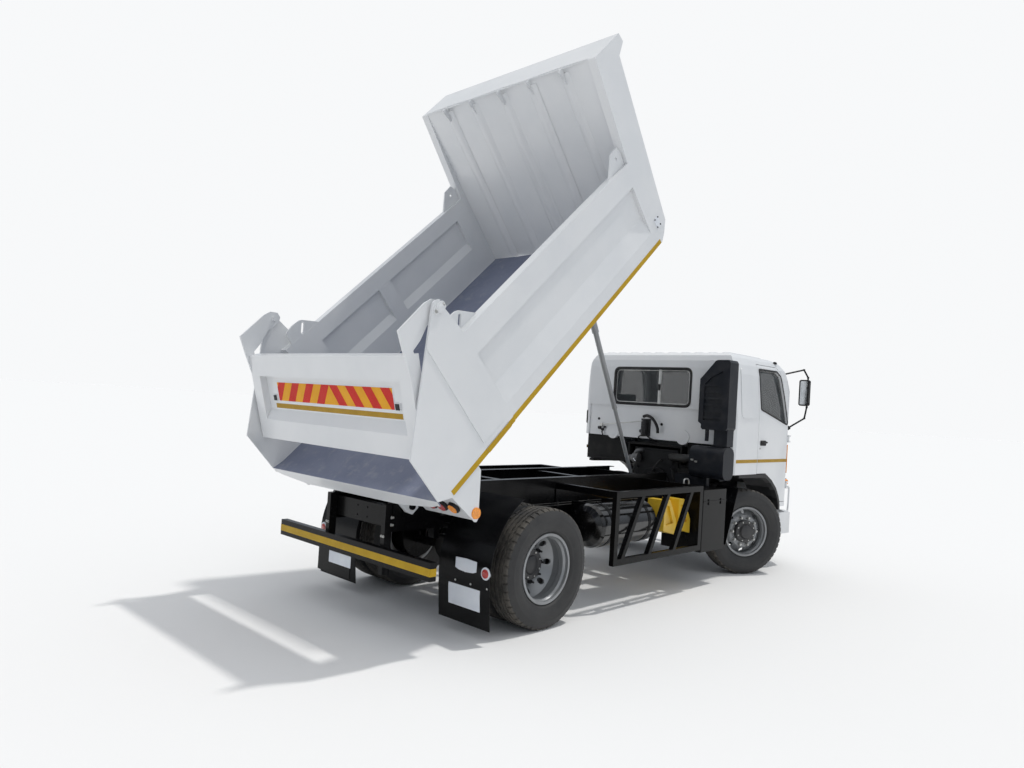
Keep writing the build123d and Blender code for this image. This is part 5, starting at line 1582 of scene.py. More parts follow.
    def make_door_trim(self, side: Side) -> None:
        """One door's window seal, its handle in a recess, and its keyhole.

        Args:
            side: the door's side.
        """
        word, sign = side.word, side.value
        door = Surface(self.frame, f"door_{word}")
        body = Body[f"DOOR_{side.name}"]
        form = Form(f"door_window_seal_{word}")
        outline = []
        for x, z in self.door_window:
            away = (Vector((x, 0.0, z)) - Vector(self.door_middle)).normalized() * 0.014
            outline.append((x + away.x, 0.0, z + away.z))
        loop = [door.beside(side, p.x, p.z) for p in denser(rounded_loop(outline, 0.022, 4), 5)]
        form.bead(loop, (0.011, 0.006), (0, -sign, 0))
        form.done(body, self.finishes.pick("seal_rubber"))
        form = Form(f"door_handle_{word}")
        y = sign * 1.110
        sunk = Vector((0, -sign * 0.001, 0))
        recess = rounded_plate(y, (3.945, 4.105), (1.558, 1.622), 0.022, facing_y=True)
        form.solid([p + sunk for p in recess], (0, sign * 0.006, 0))
        form.finish_index = 1
        form.tube([(x, y + sign * out, 1.600) for x, out in self.handle], 0.011, 12)
        form.finish_index = 2
        keyhole = [(0, 0.013), (0.005, 0.013), (0.006, 0.010)]
        form.lathe((3.950, y - sign * 0.001, 1.524), (0, sign, 0), keyhole, 20)
        form.done(body, self.finishes.pick("seal_rubber", "black_plastic", "zinc"), 0.0012)

    def make_mirror_glass(self, side: Side) -> None:
        """The mirror's pane in its rim, a bracket at each end, and the stay's round foot.

        Args:
            side: the mirror's side.
        """
        sign = side.value
        x, (y0, y1), (z0, z1) = 4.950, (1.132, 1.262), (2.095, 2.440)
        form = Form(f"mirror_pane_{side.word}")
        edge = 0.012
        loop = rounded_plate(x, (sign * (y0 + edge), sign * (y1 - edge)), (z0 + edge, z1 - edge), 0.020)
        form.solid([p + Vector((0.001, 0, 0)) for p in loop], (-0.003, 0, 0))
        form.finish_index = 1
        form.bead(loop, (0.006, 0.006), (1, 0, 0))
        for z in (z0 + 0.03, z1 - 0.03):
            form.block((x + 0.030, x + 0.045), side.span(y1 - 0.050, y1 + 0.006), (z - 0.014, z + 0.014))
        form.done(Body.CAB, self.finishes.pick("mirror_glass", "black_plastic"))
        foot = Form(f"mirror_foot_{side.word}")
        base = Surface(self.frame, "cab_front").beside(side, 4.792, 1.792)
        foot.lathe(base - Vector((0, sign * 0.004, 0)), (0, sign, 0),
                   [(0.0, 0.030), (0.010, 0.030), (0.020, 0.022), (0.034, 0.014)], 20)
        foot.done(Body.CAB, self.finishes.pick("black_plastic"))

    def make_corner_parts(self, side: Side) -> None:
        """The round side lamp, the knob at the roof's corner, and on the left a slot behind the cab.

        Args:
            side: the cab's side.
        """
        sign, word = side.value, side.word
        out = (0, sign, 0)
        spot = Surface(self.frame, "cab_front").beside(side, 4.800, 1.082)
        lamp = Form(f"side_lamp_{word}")
        lamp.finish_index = 1
        rim = [(0.0, 0.048), (0.010, 0.048), (0.014, 0.044)]
        lamp.lathe(spot - Vector((0, sign * 0.004, 0)), out, rim, 32)
        lamp.finish_index = 0
        dome = [(0.0, 0.043), (0.012, 0.040), (0.022, 0.030), (0.026, 0.0)]
        lamp.lathe(spot + Vector((0, sign * 0.008, 0)), out, dome, 32)
        lamp.done(Body.CAB, self.finishes.pick("amber_lens", "black_plastic"))
        top = Surface(self.frame, "cab_roof").above(4.470, sign * 1.000)
        form = Form(f"roof_marker_{word}")
        form.lathe(top - Vector((0, 0, 0.004)), (0, 0, 1),
                   [(0.0, 0.030), (0.012, 0.028), (0.024, 0.022), (0.030, 0.010), (0.031, 0.0)], 20)
        form.done(Body.CAB, self.finishes.pick("black_plastic"))
        if side is Side.LEFT:
            slot = Form("grab_slot")
            face = Surface(self.frame, "cab_rear").hit((3.0, 1.070, 1.77), (1, 0, 0)).x
            slot.solid(rounded_plate(face - 0.001, (1.050, 1.092), (1.690, 1.865), 0.014), (0.006, 0, 0))
            slot.done(Body.CAB, self.finishes.pick("seal_rubber"), 0.001)

    def make_wipers(self) -> None:
        """Two wipers that rest along the windscreen's foot."""
        front = Surface(self.frame, "cab_front")
        glass = Surface(self.frame, "cab_glass")
        form = Form("wipers")
        steps = 6
        for y_pivot, y_tip in ((-0.62, 0.02), (0.18, 0.80)):
            pivot = front.ahead(y_pivot, 1.785)
            form.lathe(pivot - Vector((0.004, 0, 0)), (1, 0, 0),
                       [(0.0, 0.022), (0.020, 0.020), (0.026, 0.012)], 16)
            blade = [glass.ahead(y_pivot + (y_tip - y_pivot) * k / steps, 1.862 + 0.012 * k, 0.016)
                     for k in range(steps + 1)]
            form.tube(blade, 0.006, 8)
            elbow = (pivot + blade[3]) / 2 + Vector((0.016, 0, 0.010))
            form.tube([pivot + Vector((0.018, 0, 0)), elbow, blade[3]], 0.007, 8)
        form.done(Body.CAB, self.finishes.pick("black_plastic"))

    def make_pump(self) -> None:
        """The tilting pump on the rear wall, its handle, hoses and rod, and the grommets."""
        wall = self.wall_x + 0.012
        back = (-1, 0, 0)
        form = Form("cab_pump")
        black, cast, zinc = 0, 1, 2
        form.finish_index = cast
        form.block((wall - 0.012, wall + 0.001), (0.052, 0.190), (1.575, 1.800))
        form.lathe((wall - 0.050, 0.122, 1.590), (0, 0, 1), self.pump_body, 24)
        form.lathe((wall - 0.040, 0.085, 1.700), (0, 1, 0), [(0, 0.018), (0.070, 0.018), (0.074, 0.012)], 16)
        form.lathe((wall - 0.045, 0.165, 1.640), back, [(-0.02, 0.022), (0.012, 0.022), (0.016, 0.012)], 16)
        form.finish_index = black
        form.tube(shifted(self.pump_handle, wall), 0.019, 14)
        for route, radius in self.pump_hoses:
            form.tube(shifted(route, wall), radius, 10)
        form.finish_index = zinc
        form.tube(shifted(self.pump_rod, wall), 0.0065, 8)
        form.block((wall - 0.030, wall + 0.001), (0.800, 0.842), (1.660, 1.704))
        for y, z in ((0.150, 1.715), (0.110, 1.640), (0.110, 1.605)):
            form.bolt((wall, y, z), back, 0.010)
        form.finish_index = cast
        for y, z, r in ((0.850, 1.640, 0.022), (0.800, 1.620, 0.018), (0.765, 1.652, 0.014)):
            form.lathe((wall + 0.001, y, z), back, [(0, r), (0.030, r), (0.036, r * 0.6)], 16)
        form.finish_index = black
        drain = ((-0.020, 0.800, 1.610), (-0.030, 0.790, 1.570), (-0.004, 0.780, 1.530))
        form.tube(shifted(drain, wall), 0.008, 8)
        for y, z in ((0.877, 1.760), (-0.110, 1.743)):
            form.lathe((wall - 0.001, y, z), back, [(-0.002, 0.018), (0.003, 0.018), (0.005, 0.013)], 20)
        form.done(Body.CAB, self.finishes.pick("black_plastic", "cast_metal", "zinc"), 0.0015)

    def make_front(self) -> None:
        """The grille's mesh, and the bumper's lamps and blank plate."""
        grille = Surface(self.frame, "cab_front")
        form = Form("grille_mesh")
        wires, steps = 12, 10
        for k in range(wires):
            z = 1.165 + 0.021 * k
            line = [grille.ahead(-0.70 + 1.4 * i / steps, z, 0.006) for i in range(steps + 1)]
            form.tube(line, 0.0035, 6, 2)
        form.done(Body.CAB, self.finishes.pick("black_plastic"))
        bumper = Surface(self.frame, "front_bumper")
        lamps = Form("bumper_lamps")
        plate = Form("front_plate")
        lamp_z, out = 0.555, (1, 0, 0)
        for side in Side:
            spot = bumper.ahead(side.value * 0.78, lamp_z)
            lamps.finish_index = 0
            lamps.lathe(spot - Vector((0.004, 0, 0)), out, [(0, 0.072), (0.010, 0.072), (0.012, 0.066)], 32)
            lamps.finish_index = 1
            lamps.lathe(spot + Vector((0.006, 0, 0)), out, [(0, 0.062), (0.010, 0.056), (0.014, 0.0)], 32)
        lamps.done(Body.CHASSIS, self.finishes.pick("black_plastic", "lamp_glazing"))
        face = bumper.ahead(0.0, lamp_z).x
        plate.block((face - 0.001, face + 0.004), (-0.260, 0.260), (0.500, 0.612))
        plate.done(Body.CHASSIS, self.finishes.pick("white_tape"), 0.0015)


@dataclass
class BinTrim:
    """The bin's sill and ribs, the pins' caps, the wings' plates, weld beads, and the hoist's fittings."""

    frame: Mapping[str, Any]
    finishes: Finishes
    rib_ys: tuple = (-0.8, -0.4, 0.0, 0.4, 0.8)
    rib_shape: tuple = ((-0.060, -0.001), (-0.022, 0.020), (0.022, 0.020), (0.060, -0.001))
    rib_z: Point = (0.060, 1.800)
    pin: Point = (0.750, 1.165)
    hoist_top: Point = (0.960, 0.0, 4.660)
    hoist_axis: Point = (0.4677, 0.0, -0.8839)
    barrel_radius: float = 0.055
    feed_pipe: tuple = ((2.815, -0.125, 0.962), (2.790, -0.122, 1.080), (2.768, -0.108, 1.220),
                        (2.760, -0.096, 1.285))
    union_end: Point = (2.742, -0.076, 1.316)
    beam: tuple = ((-1.150, 0.0215), (1.150, 0.0215), (1.080, -0.004), (0.700, -0.062), (-0.640, -0.062),
                   (-1.080, -0.004))

    def build(self) -> None:
        """Make all of the bin's trim."""
        self.make_sill()
        self.make_ribs()
        self.make_pin_caps()
        self.make_wing_plates()
        self.make_collars()
        self.make_beads()

    def on_bin(self, surface: Surface, start: Point, direction: Point, lift: float = 0.0) -> Vector:
        """Where a line drawn in the bin's own frame meets a piece.

        Args:
            surface: the piece's surface.
            start: the line's start in the bin's frame.
            direction: its direction in the bin's frame.
            lift: how far above the surface the result lies.

        Returns:
            The point in the bin's frame.
        """
        place = surface.hit(BIN @ Vector(start) + ORIGIN, BIN.to_3x3() @ Vector(direction), lift)
        return BIN.inverted() @ (place - ORIGIN)

    def make_sill(self) -> None:
        """The white face over the floor's rear flange, and the beam under it."""
        floor = Surface(self.frame, "bed_floor")
        face = self.on_bin(floor, (-0.6, 0.3, 0.045), (1, 0, 0)).x
        form = Form("bin_sill", BIN)
        form.block((face - 0.0020, face + 0.0015), (-1.183, 1.183), (0.0215, 0.0690))
        form.solid([(face - 0.0010, y, z) for y, z in self.beam], (0.008, 0.0, 0.0))
        form.block((0.004, 0.060), (-0.600, 0.600), (-0.055, 0.039))
        form.done(Body.BED, self.finishes.pick("white_paint"), 0.001)

    def make_ribs(self) -> None:
        """The ribs pressed into the headboard under its gussets."""
        head = Surface(self.frame, "headboard")
        form = Form("headboard_ribs", BIN)
        steps, aside, sunk = 12, 0.012, 0.004
        low_z, high_z = self.rib_z
        for y in self.rib_ys:
            rows = []
            for i in range(steps + 1):
                z = low_z + (high_z - low_z) * i / steps
                back = self.on_bin(head, (2.4, y + (aside if y <= 0 else -aside), z), (1, 0, 0)).x
                row = [(back - height, y + across, z) for across, height in self.rib_shape]
                rows.append([form.mesh.verts.new(spot) for spot in (*row, (back + sunk, y, z))])
            form.skin(rows)
            form.cap(rows)
        form.done(Body.BED, self.finishes.pick("white_paint"))

    def make_pin_caps(self) -> None:
        """An oval keeper with two bolts over each end of the gate's pins."""
        form = Form("gate_pin_caps", BIN)
        x, z = self.pin
        ears = Surface(self.frame, "bed_sides")
        for side in Side:
            sign = side.value
            out = (0, sign, 0)
            face = self.on_bin(ears, (x - 0.045, sign * BESIDE, z), (0, -sign, 0)).y
            loop = rounded_plate(face, (x - 0.062, x + 0.062), (z - 0.034, z + 0.034), 0.033, 6, True)
            form.finish_index = 0
            form.solid([point - Vector((0, sign * 0.001, 0)) for point in loop], (0, sign * 0.009, 0))
            form.lathe((x, face + sign * 0.006, z), out, [(0, 0.024), (0.010, 0.024), (0.013, 0.020)], 24)
            form.finish_index = 1
            for offset in (-0.042, 0.042):
                form.bolt((x + offset, face + sign * 0.0085, z), out, 0.010)
        form.done(Body.BED, self.finishes.pick("white_paint", "zinc"), 0.0012)

    def make_wing_plates(self) -> None:
        """The small blank plate with its bolts at the front lower corner of each wing."""
        wing = Surface(self.frame, "headboard")
        for side in Side:
            sign = side.value
            form = Form(f"wing_plate_{side.word}", BIN)
            face = self.on_bin(wing, (3.560, sign * BESIDE, 0.200), (0, -sign, 0)).y
            form.block((3.520, 3.600), sorted((face - sign * 0.001, face + sign * 0.004)), (0.150, 0.250))
            form.finish_index = 1
            for x, z in ((3.530, 0.160), (3.590, 0.160), (3.530, 0.240), (3.590, 0.240)):
                form.bolt((x, face + sign * 0.004, z), (0, sign, 0), 0.006)
            form.done(Body.BED, self.finishes.pick("white_tape", "seal_rubber"))

    def make_collars(self) -> None:
        """The gland nut at the barrel's lower end, and the feed pipe with its union."""
        axis = Vector(self.hoist_axis).normalized()
        top = Vector(self.hoist_top)
        _, low = Surface(self.frame, Body.BARREL.value).span(top, axis)
        form = Form("hoist_barrel_collar")
        section = ((0.0, -0.0005), (0.0, 0.004), (0.004, 0.006), (0.026, 0.006), (0.030, 0.003),
                   (0.048, 0.003), (0.050, -0.0005))
        form.hoop(top + axis * (low - 0.052), axis, [(d, self.barrel_radius + out) for d, out in section])
        form.done(Body.BARREL, self.finishes.pick("hoist_paint"))
        form = Form("hoist_feed_pipe")
        form.tube(self.feed_pipe, 0.010, 12)
        form.finish_index = 1
        form.bar(self.feed_pipe[-1], self.union_end, 0.014, 12)
        form.done(Body.CHASSIS, self.finishes.pick("hose_rubber", "bright_steel"))

    def make_beads(self) -> None:
        """The weld beads where the doubler plates end and along the floor's inner edges."""
        form = Form("bin_weld_beads", BIN)
        ears = Surface(self.frame, "bed_sides")
        for side in Side:
            sign = side.value
            line = [self.on_bin(ears, (0.853, sign * BESIDE, z), (0, -sign, 0), 0.0015)
                    for z in (0.060, 0.200, 0.340, 0.480, 0.620, 0.760)]
            form.tube(line, 0.004, 8, 2)
            wall = self.on_bin(ears, (1.50, 0.0, 0.120), (0, sign, 0)).y
            form.tube([(x, wall - sign * 0.002, 0.054) for x in (0.90, 1.70, 2.50, 3.48)], 0.005, 8, 2)
        form.done(Body.BED, self.finishes.pick("white_paint"))


@dataclass
class ChassisTrim:
    """The frame's bolts and pipes, the tanks' bands, the arches' edges and the engine's gear."""

    frame: Mapping[str, Any]
    finishes: Finishes
    front_axle: float = 3.900
    rail_y: float = 0.425
    arch: tuple = ((3.430, 1.207), (4.126, 1.207), (4.170, 1.190), (4.310, 1.125), (4.450, 1.020),
                   (4.540, 0.900), (4.578, 0.800), (4.584, 0.737))
    arch_middle: Point = (3.960, 0.0, 0.640)
    arch_clear: float = 0.0008
    arch_bands: tuple = ((0.046, 1.050, 1.116), (0.0060, 0.700, 1.052))
    spring_y: float = 0.387
    u_bolt: tuple = ((-0.046, -0.130), (-0.046, -0.012), (-0.030, 0.012), (0.030, 0.012), (0.046, -0.012),
                     (0.046, -0.130))
    tank: Point = (-0.790, 0.745)
    tank_band: tuple = ((-0.022, 0.2148), (-0.022, 0.2185), (0.022, 0.2185), (0.022, 0.2148))
    silencer: Point = (0.700, 0.640)
    silencer_band: tuple = ((-0.016, 0.1398), (-0.016, 0.1430), (0.016, 0.1430), (0.016, 0.1398))
    fuel_cap: tuple = ((0, 0.052), (0.018, 0.052), (0.022, 0.046), (0.036, 0.044), (0.040, 0.034),
                       (0.041, 0.0))
    flywheel: Point = (0.0, 0.960)
    cover: tuple = ((0, 0.230), (0.022, 0.230), (0.030, 0.222), (0.030, 0.180), (0.052, 0.168),
                    (0.060, 0.150))
    cover_bolts: int = 12
    elbow: tuple = ((0, 0.030), (0.010, 0.062), (0.050, 0.070), (0.090, 0.062), (0.110, 0.040),
                    (0.150, 0.036))
    outlet: tuple = ((-0.060, 0.270, 1.330), (-0.062, 0.250, 1.372), (-0.030, 0.220, 1.392),
                     (0.010, 0.200, 1.394))
    hoses: tuple = (
        (((0, -0.10, 1.300), (-0.060, -0.080, 1.270), (-0.080, -0.030, 1.180), (0, 0.020, 1.140)), 0.011),
        (((0, 0.260, 1.180), (-0.060, 0.280, 1.150), (-0.070, 0.300, 1.080), (0, 0.300, 1.020)), 0.014),
        (((0, -0.240, 1.200), (-0.050, -0.280, 1.180), (-0.060, -0.300, 1.100), (0, -0.300, 1.040)), 0.010),
    )

    def build(self) -> None:
        """Make all of the chassis trim."""
        for side in Side:
            self.make_arch(side)
        self.make_shields()
        self.make_rail_bolts()
        self.make_pipes()
        self.make_tank_bands()
        self.make_u_bolts()
        self.make_battery_trim()
        self.make_engine_gear()
        self.make_corner_bar()
        self.make_brake_lines()

    def arch_line(self, amount: float) -> list[Vector]:
        """The arch's line, moved towards the wheel.

        Args:
            amount: how far it is moved.

        Returns:
            The line's points at y = 0.
        """
        middle = Vector(self.arch_middle)
        outer = [Vector((x, 0.0, z)) for x, z in self.arch]
        line = [point + (middle - point).normalized() * amount for point in outer]
        line[0].x = outer[0].x
        line[-1].z = outer[-1].z
        return line

    def make_arch(self, side: Side) -> None:
        """The black edge and the lining of one front wheel arch.

        Args:
            side: the wheel's side.
        """
        form = Form(f"arch_edge_{side.word}")
        near = self.arch_line(self.arch_clear)
        for depth, inner, outer in self.arch_bands:
            far = self.arch_line(depth)
            for k in range(len(near) - 1):
                quad = (near[k], near[k + 1], far[k + 1], far[k])
                form.solid([(q.x, side.value * inner, q.z) for q in quad],
                           (0.0, side.value * (outer - inner), 0.0))
        form.done(Body.CAB, self.finishes.pick("black_plastic"))

    def make_shields(self) -> None:
        """Dark panels under the cab's rear wall, on both sides of the engine, that paint the shade there."""
        form = Form("rear_painted_shade_panels")
        # Painted shade: these near-black panels stand in for the shadow under the cab's rear wall.
        for side in Side:
            form.block((3.330, 3.334), side.span(0.470, 1.080), (1.222, 1.600))
        form.done(Body.CAB, self.finishes.pick("floor_mat_and_painted_shade"), 0.001)

    def make_rail_bolts(self) -> None:
        """Rows of bolt heads on the rails' outer faces."""
        rails = Surface(self.frame, "chassis_frame")
        form = Form("rail_bolts")
        near = 0.004
        for side in Side:
            sign = side.value
            for x in (-0.95, -0.75, -0.55, -0.35, 0.35, 0.55, 0.80, 1.30, 1.80, 2.30, 2.75, 3.10):
                for z in (0.840, 0.968):
                    spot = rails.hit((x, sign * 1.0, z), (0, -sign, 0))
                    if abs(abs(spot.y) - self.rail_y) < near:
                        form.bolt(spot, (0, sign, 0), 0.012)
        form.done(Body.CHASSIS, self.finishes.pick("black_paint"))

    def make_pipes(self) -> None:
        """Two air pipes clipped along each rail."""
        form = Form("rail_pipes")
        for side in Side:
            y = side.value * (self.rail_y + 0.010)
            for z, radius in ((0.900, 0.006), (0.922, 0.0045)):
                form.tube([(x, y, z) for x in (-0.60, 0.20, 1.00, 2.00, 2.90)], radius, 10, 2)
            across = side.span(self.rail_y - 0.001, self.rail_y + 0.018)
            for x in (-0.50, -0.10, 0.45, 0.95, 1.45, 1.95, 2.45, 2.85):
                form.block((x - 0.012, x + 0.012), across, (0.890, 0.932))
        form.done(Body.CHASSIS, self.finishes.pick("hose_rubber"), 0.001)

    def make_tank_bands(self) -> None:
        """Bands round the air tank and the silencer, a drain, and the fuel tank's cap and bands."""
        form = Form("tank_bands")
        y, z = self.tank
        for x in (1.13, 1.76):
            form.hoop((x, y, z), (1, 0, 0), self.tank_band, 48)
            form.bolt((x, y, 0.9635), (0, 0, 1), 0.010)
        form.finish_index = 1
        drain = [(0, 0.020), (0.014, 0.020), (0.018, 0.012), (0.034, 0.012)]
        form.lathe((1.445, y, 0.531), (0, 0, -1), drain, 12)
        form.finish_index = 0
        for x in (2.42, 2.78):
            form.hoop((x, *self.silencer), (1, 0, 0), self.silencer_band, 40)
        tank = Surface(self.frame, "fuel_tank")
        for x in (1.20, 1.75):
            side_y = tank.beside(Side.LEFT, x, 0.70).y
            top_z = tank.above(x, 0.80).z
            form.block((x - 0.025, x + 0.025), (side_y - 0.001, side_y + 0.004), (0.480, 0.900))
            form.block((x - 0.025, x + 0.025), (0.560, 1.020), (top_z - 0.001, top_z + 0.004))
        form.finish_index = 1
        top_z = tank.above(1.45, 0.96).z
        form.lathe((1.45, 0.96, top_z - 0.002), (0, 0, 1), self.fuel_cap, 32)
        form.done(Body.CHASSIS, self.finishes.pick("black_paint", "cast_alloy"))

    def make_u_bolts(self) -> None:
        """The clamping bolts that hold each spring on its axle."""
        springs = Surface(self.frame, "leaf_springs")
        form = Form("spring_u_bolts")
        for axle in (0.0, self.front_axle):
            for side in Side:
                y = side.value * self.spring_y
                top = springs.above(axle, y).z
                for x in (axle - 0.085, axle + 0.085):
                    over = springs.above(x, y).z
                    form.tube([(x, y + across, over + up) for across, up in self.u_bolt], 0.009, 10, 4)
                form.block((axle - 0.105, axle + 0.105), (y - 0.040, y + 0.040), (top - 0.001, top + 0.010))
        form.done(Body.CHASSIS, self.finishes.pick("black_paint"))

    def make_battery_trim(self) -> None:
        """The battery box's lid edge, catches and hook."""
        box = Surface(self.frame, "battery_box")
        form = Form("battery_trim")
        y = -0.900
        face = box.beside(Side.RIGHT, 2.85, 0.80).y
        top = box.above(2.85, y).z
        form.block((2.570, 3.080), (face - 0.006, face + 0.001), (top - 0.135, top - 0.120))
        for x in (2.690, 2.960):
            form.block((x - 0.012, x + 0.012), (face - 0.010, face + 0.001), (top - 0.165, top - 0.105))
        form.finish_index = 1
        hook = ((2.560, top - 0.002), (2.560, 1.150), (2.590, 1.166), (2.640, 1.164), (2.662, 1.140),
                (2.664, top - 0.002))
        form.tube([(x, y, z) for x, z in hook], 0.008, 12)
        form.done(Body.CHASSIS, self.finishes.pick("black_paint", "zinc"), 0.001)

    def make_engine_gear(self) -> None:
        """The engine's rear cover, cast elbow, air duct and hoses, and the air cleaner's clips."""
        engine = Surface(self.frame, "engine_block")
        face = engine.hit((2.9, 0.0, 1.0), (1, 0, 0)).x
        back = (-1, 0, 0)
        form = Form("engine_gear")
        y, z = self.flywheel
        form.lathe((face + 0.001, y, z), back, self.cover, 48)
        circle = 0.205
        for k in range(self.cover_bolts):
            angle = 2 * math.pi * k / self.cover_bolts
            spot = (face - 0.029, y + circle * math.cos(angle), z + circle * math.sin(angle))
            form.bolt(spot, back, 0.009, False)
        form.block((face - 0.016, face + 0.001), (-0.260, 0.180), (1.250, 1.400))
        form.finish_index = 1
        form.lathe((face - 0.060, 0.205, 1.290), (0, 1, 0), self.elbow, 28)
        form.tube(shifted(self.outlet, face), 0.030, 16)
        form.finish_index = 2
        duct = ((3.120, -0.700, 1.360), (3.130, -0.620, 1.360), (3.180, -0.500, 1.352),
                (3.260, -0.360, 1.350), (face - 0.004, -0.240, 1.345))
        form.tube(duct, 0.052, 20, 8)
        for route, radius in self.hoses:
            form.tube(shifted(route, face), radius, 12, 8)
        form.done(Body.CHASSIS, self.finishes.pick("engine_iron", "cast_alloy", "hose_rubber"),
                  0.001)
        cleaner = Surface(self.frame, "air_cleaner")
        clips = Form("cleaner_clips")
        for y, z in ((-0.735, 1.362), (-0.785, 1.345)):
            x = cleaner.hit((2.7, y, z), (1, 0, 0)).x
            clips.block((x - 0.010, x + 0.001), (y - 0.014, y + 0.014), (z - 0.010, z + 0.010))
            clips.bar((x - 0.012, y - 0.018, z + 0.002), (x - 0.012, y + 0.018, z + 0.002), 0.005, 10)
        clips.done(Body.CHASSIS, self.finishes.pick("zinc"), 0.001)

    def make_corner_bar(self) -> None:
        """The white bar at each front corner of the cab."""
        form = Form("corner_bars")
        skin = Surface(self.frame, "cab_front")
        route = ((4.862, 0.706), (4.868, 0.790), (4.870, 0.890), (4.868, 0.995), (4.840, 1.022))
        for side in Side:
            high = skin.beside(side, 4.790, 1.020, -0.006)
            form.tube([*((x, side.value * 1.100, z) for x, z in route), high], 0.012, 12)
        form.done(Body.CAB, self.finishes.pick("white_paint"))

    def make_brake_lines(self) -> None:
        """Air hoses from the rails to the rear axle, with their unions."""
        form = Form("brake_lines")
        for side in Side:
            sign = side.value
            for dy, drop in ((0.0, 0.0), (0.035, 0.020)):
                route = ((0.300, 0.440, 0.900), (0.220, 0.480, 0.890 - drop), (0.150, 0.500, 0.800 - drop),
                         (0.100, 0.500, 0.680 - drop), (0.060, 0.490, 0.590))
                form.tube([(x, sign * (y + dy), z) for x, y, z in route], 0.008, 10)
            form.finish_index = 1
            form.bar((0.302, sign * 0.430, 0.900), (0.302, sign * 0.460, 0.900), 0.013, 12)
            form.finish_index = 0
        form.done(Body.CHASSIS, self.finishes.pick("hose_rubber", "zinc"))


@dataclass
class Seats:
    """Two padded seats, each with a cushion and a back on a moulded plinth."""

    finishes: Finishes
    middle_y: float = 0.715
    half_width: float = 0.262
    voxel: float = 0.012
    pressure: float = 4.0
    last_frame: int = 20
    most: float = 0.016
    cushion: tuple = ((3.470, 1.475), (4.030, 1.490), (4.030, 1.600), (3.470, 1.585))
    back: tuple = ((3.478, 1.610), (3.585, 1.630), (3.520, 2.130), (3.440, 2.120))
    plinth: tuple = (((3.520, 3.960), 0.210, (1.262, 1.440)), ((3.480, 4.010), 0.235, (1.440, 1.472)))

    def build(self) -> None:
        """Make both seats."""
        for name, outline, fill in (("cushion", self.cushion, 0.7), ("back", self.back, 0.6)):
            first = self.make_pad(f"seat_{name}_right", outline)
            data = first.data.copy()
            data.transform(Matrix.Translation((0.0, 2 * self.middle_y, 0.0)))
            second = bpy.data.objects.new(f"seat_{name}_left", data)
            bpy.context.scene.collection.objects.link(second)
            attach(second, Body.CAB.value)
            for pad in (first, second):
                smooth = pad.modifiers.new("smooth", "SUBSURF")
                smooth.levels = smooth.render_levels = 1
                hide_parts("seats")
        self.make_plinths()

    def make_pad(self, name: str, outline: Sequence[Point]) -> bpy.types.Object:
        """One pad for the right seat, filled by a cloth simulation.

        Args:
            name: the piece's name.
            outline: the pad's corners in side view, as (x, z).

        Returns:
            The pad.
        """
        form = Form(name)
        y = (-self.middle_y - self.half_width, -self.middle_y + self.half_width)
        loop = rounded_loop([(x, 0.0, z) for x, z in outline], 0.045, 4)
        form.solid([(point.x, y[0], point.z) for point in loop], (0.0, y[1] - y[0], 0.0))
        pad = form.done(Body.CAB, self.finishes.pick("seat_cloth"), 0.020, 4)
        even = pad.modifiers.new("even", "REMESH")
        even.mode = "VOXEL"
        even.voxel_size = self.voxel
        self.take_shape(pad)
        start = [v.co.copy() for v in pad.data.vertices]
        cloth = pad.modifiers.new("filling", "CLOTH")
        cloth.settings.use_pressure = True
        cloth.settings.uniform_pressure_force = self.pressure
        cloth.settings.effector_weights.gravity = 0.0
        scene = bpy.context.scene
        for frame in range(1, self.last_frame + 1):
            scene.frame_set(frame)
        self.take_shape(pad)
        scene.frame_set(1)
        for vertex, place in zip(pad.data.vertices, start):
            move = vertex.co - place
            if move.length > self.most:
                vertex.co = place + move.normalized() * self.most
        pad.data.polygons.foreach_set("use_smooth", [True] * len(pad.data.polygons))
        return pad

    def take_shape(self, pad: bpy.types.Object) -> None:
        """Apply the pad's modifiers to its mesh.

        Args:
            pad: the pad.
        """
        seen = pad.evaluated_get(bpy.context.evaluated_depsgraph_get())
        data = bpy.data.meshes.new_from_object(seen)
        pad.modifiers.clear()
        pad.data = data
        if not data.materials:
            data.materials.append(self.finishes.made["seat_cloth"])

    def make_plinths(self) -> None:
        """The moulded plinth and the belt's buckle of each seat."""
        form = Form("seat_plinths")
        for side in Side:
            y = side.value * self.middle_y
            form.finish_index = 0
            for x, half, z in self.plinth:
                form.block(x, (y - half, y + half), z)
            form.finish_index = 1
            across = side.span(self.middle_y - 0.262, self.middle_y - 0.236)
            form.block((3.560, 3.600), across, (1.440, 1.660))
        form.done(Body.CAB, self.finishes.pick("trim_plastic", "black_plastic"), 0.006)


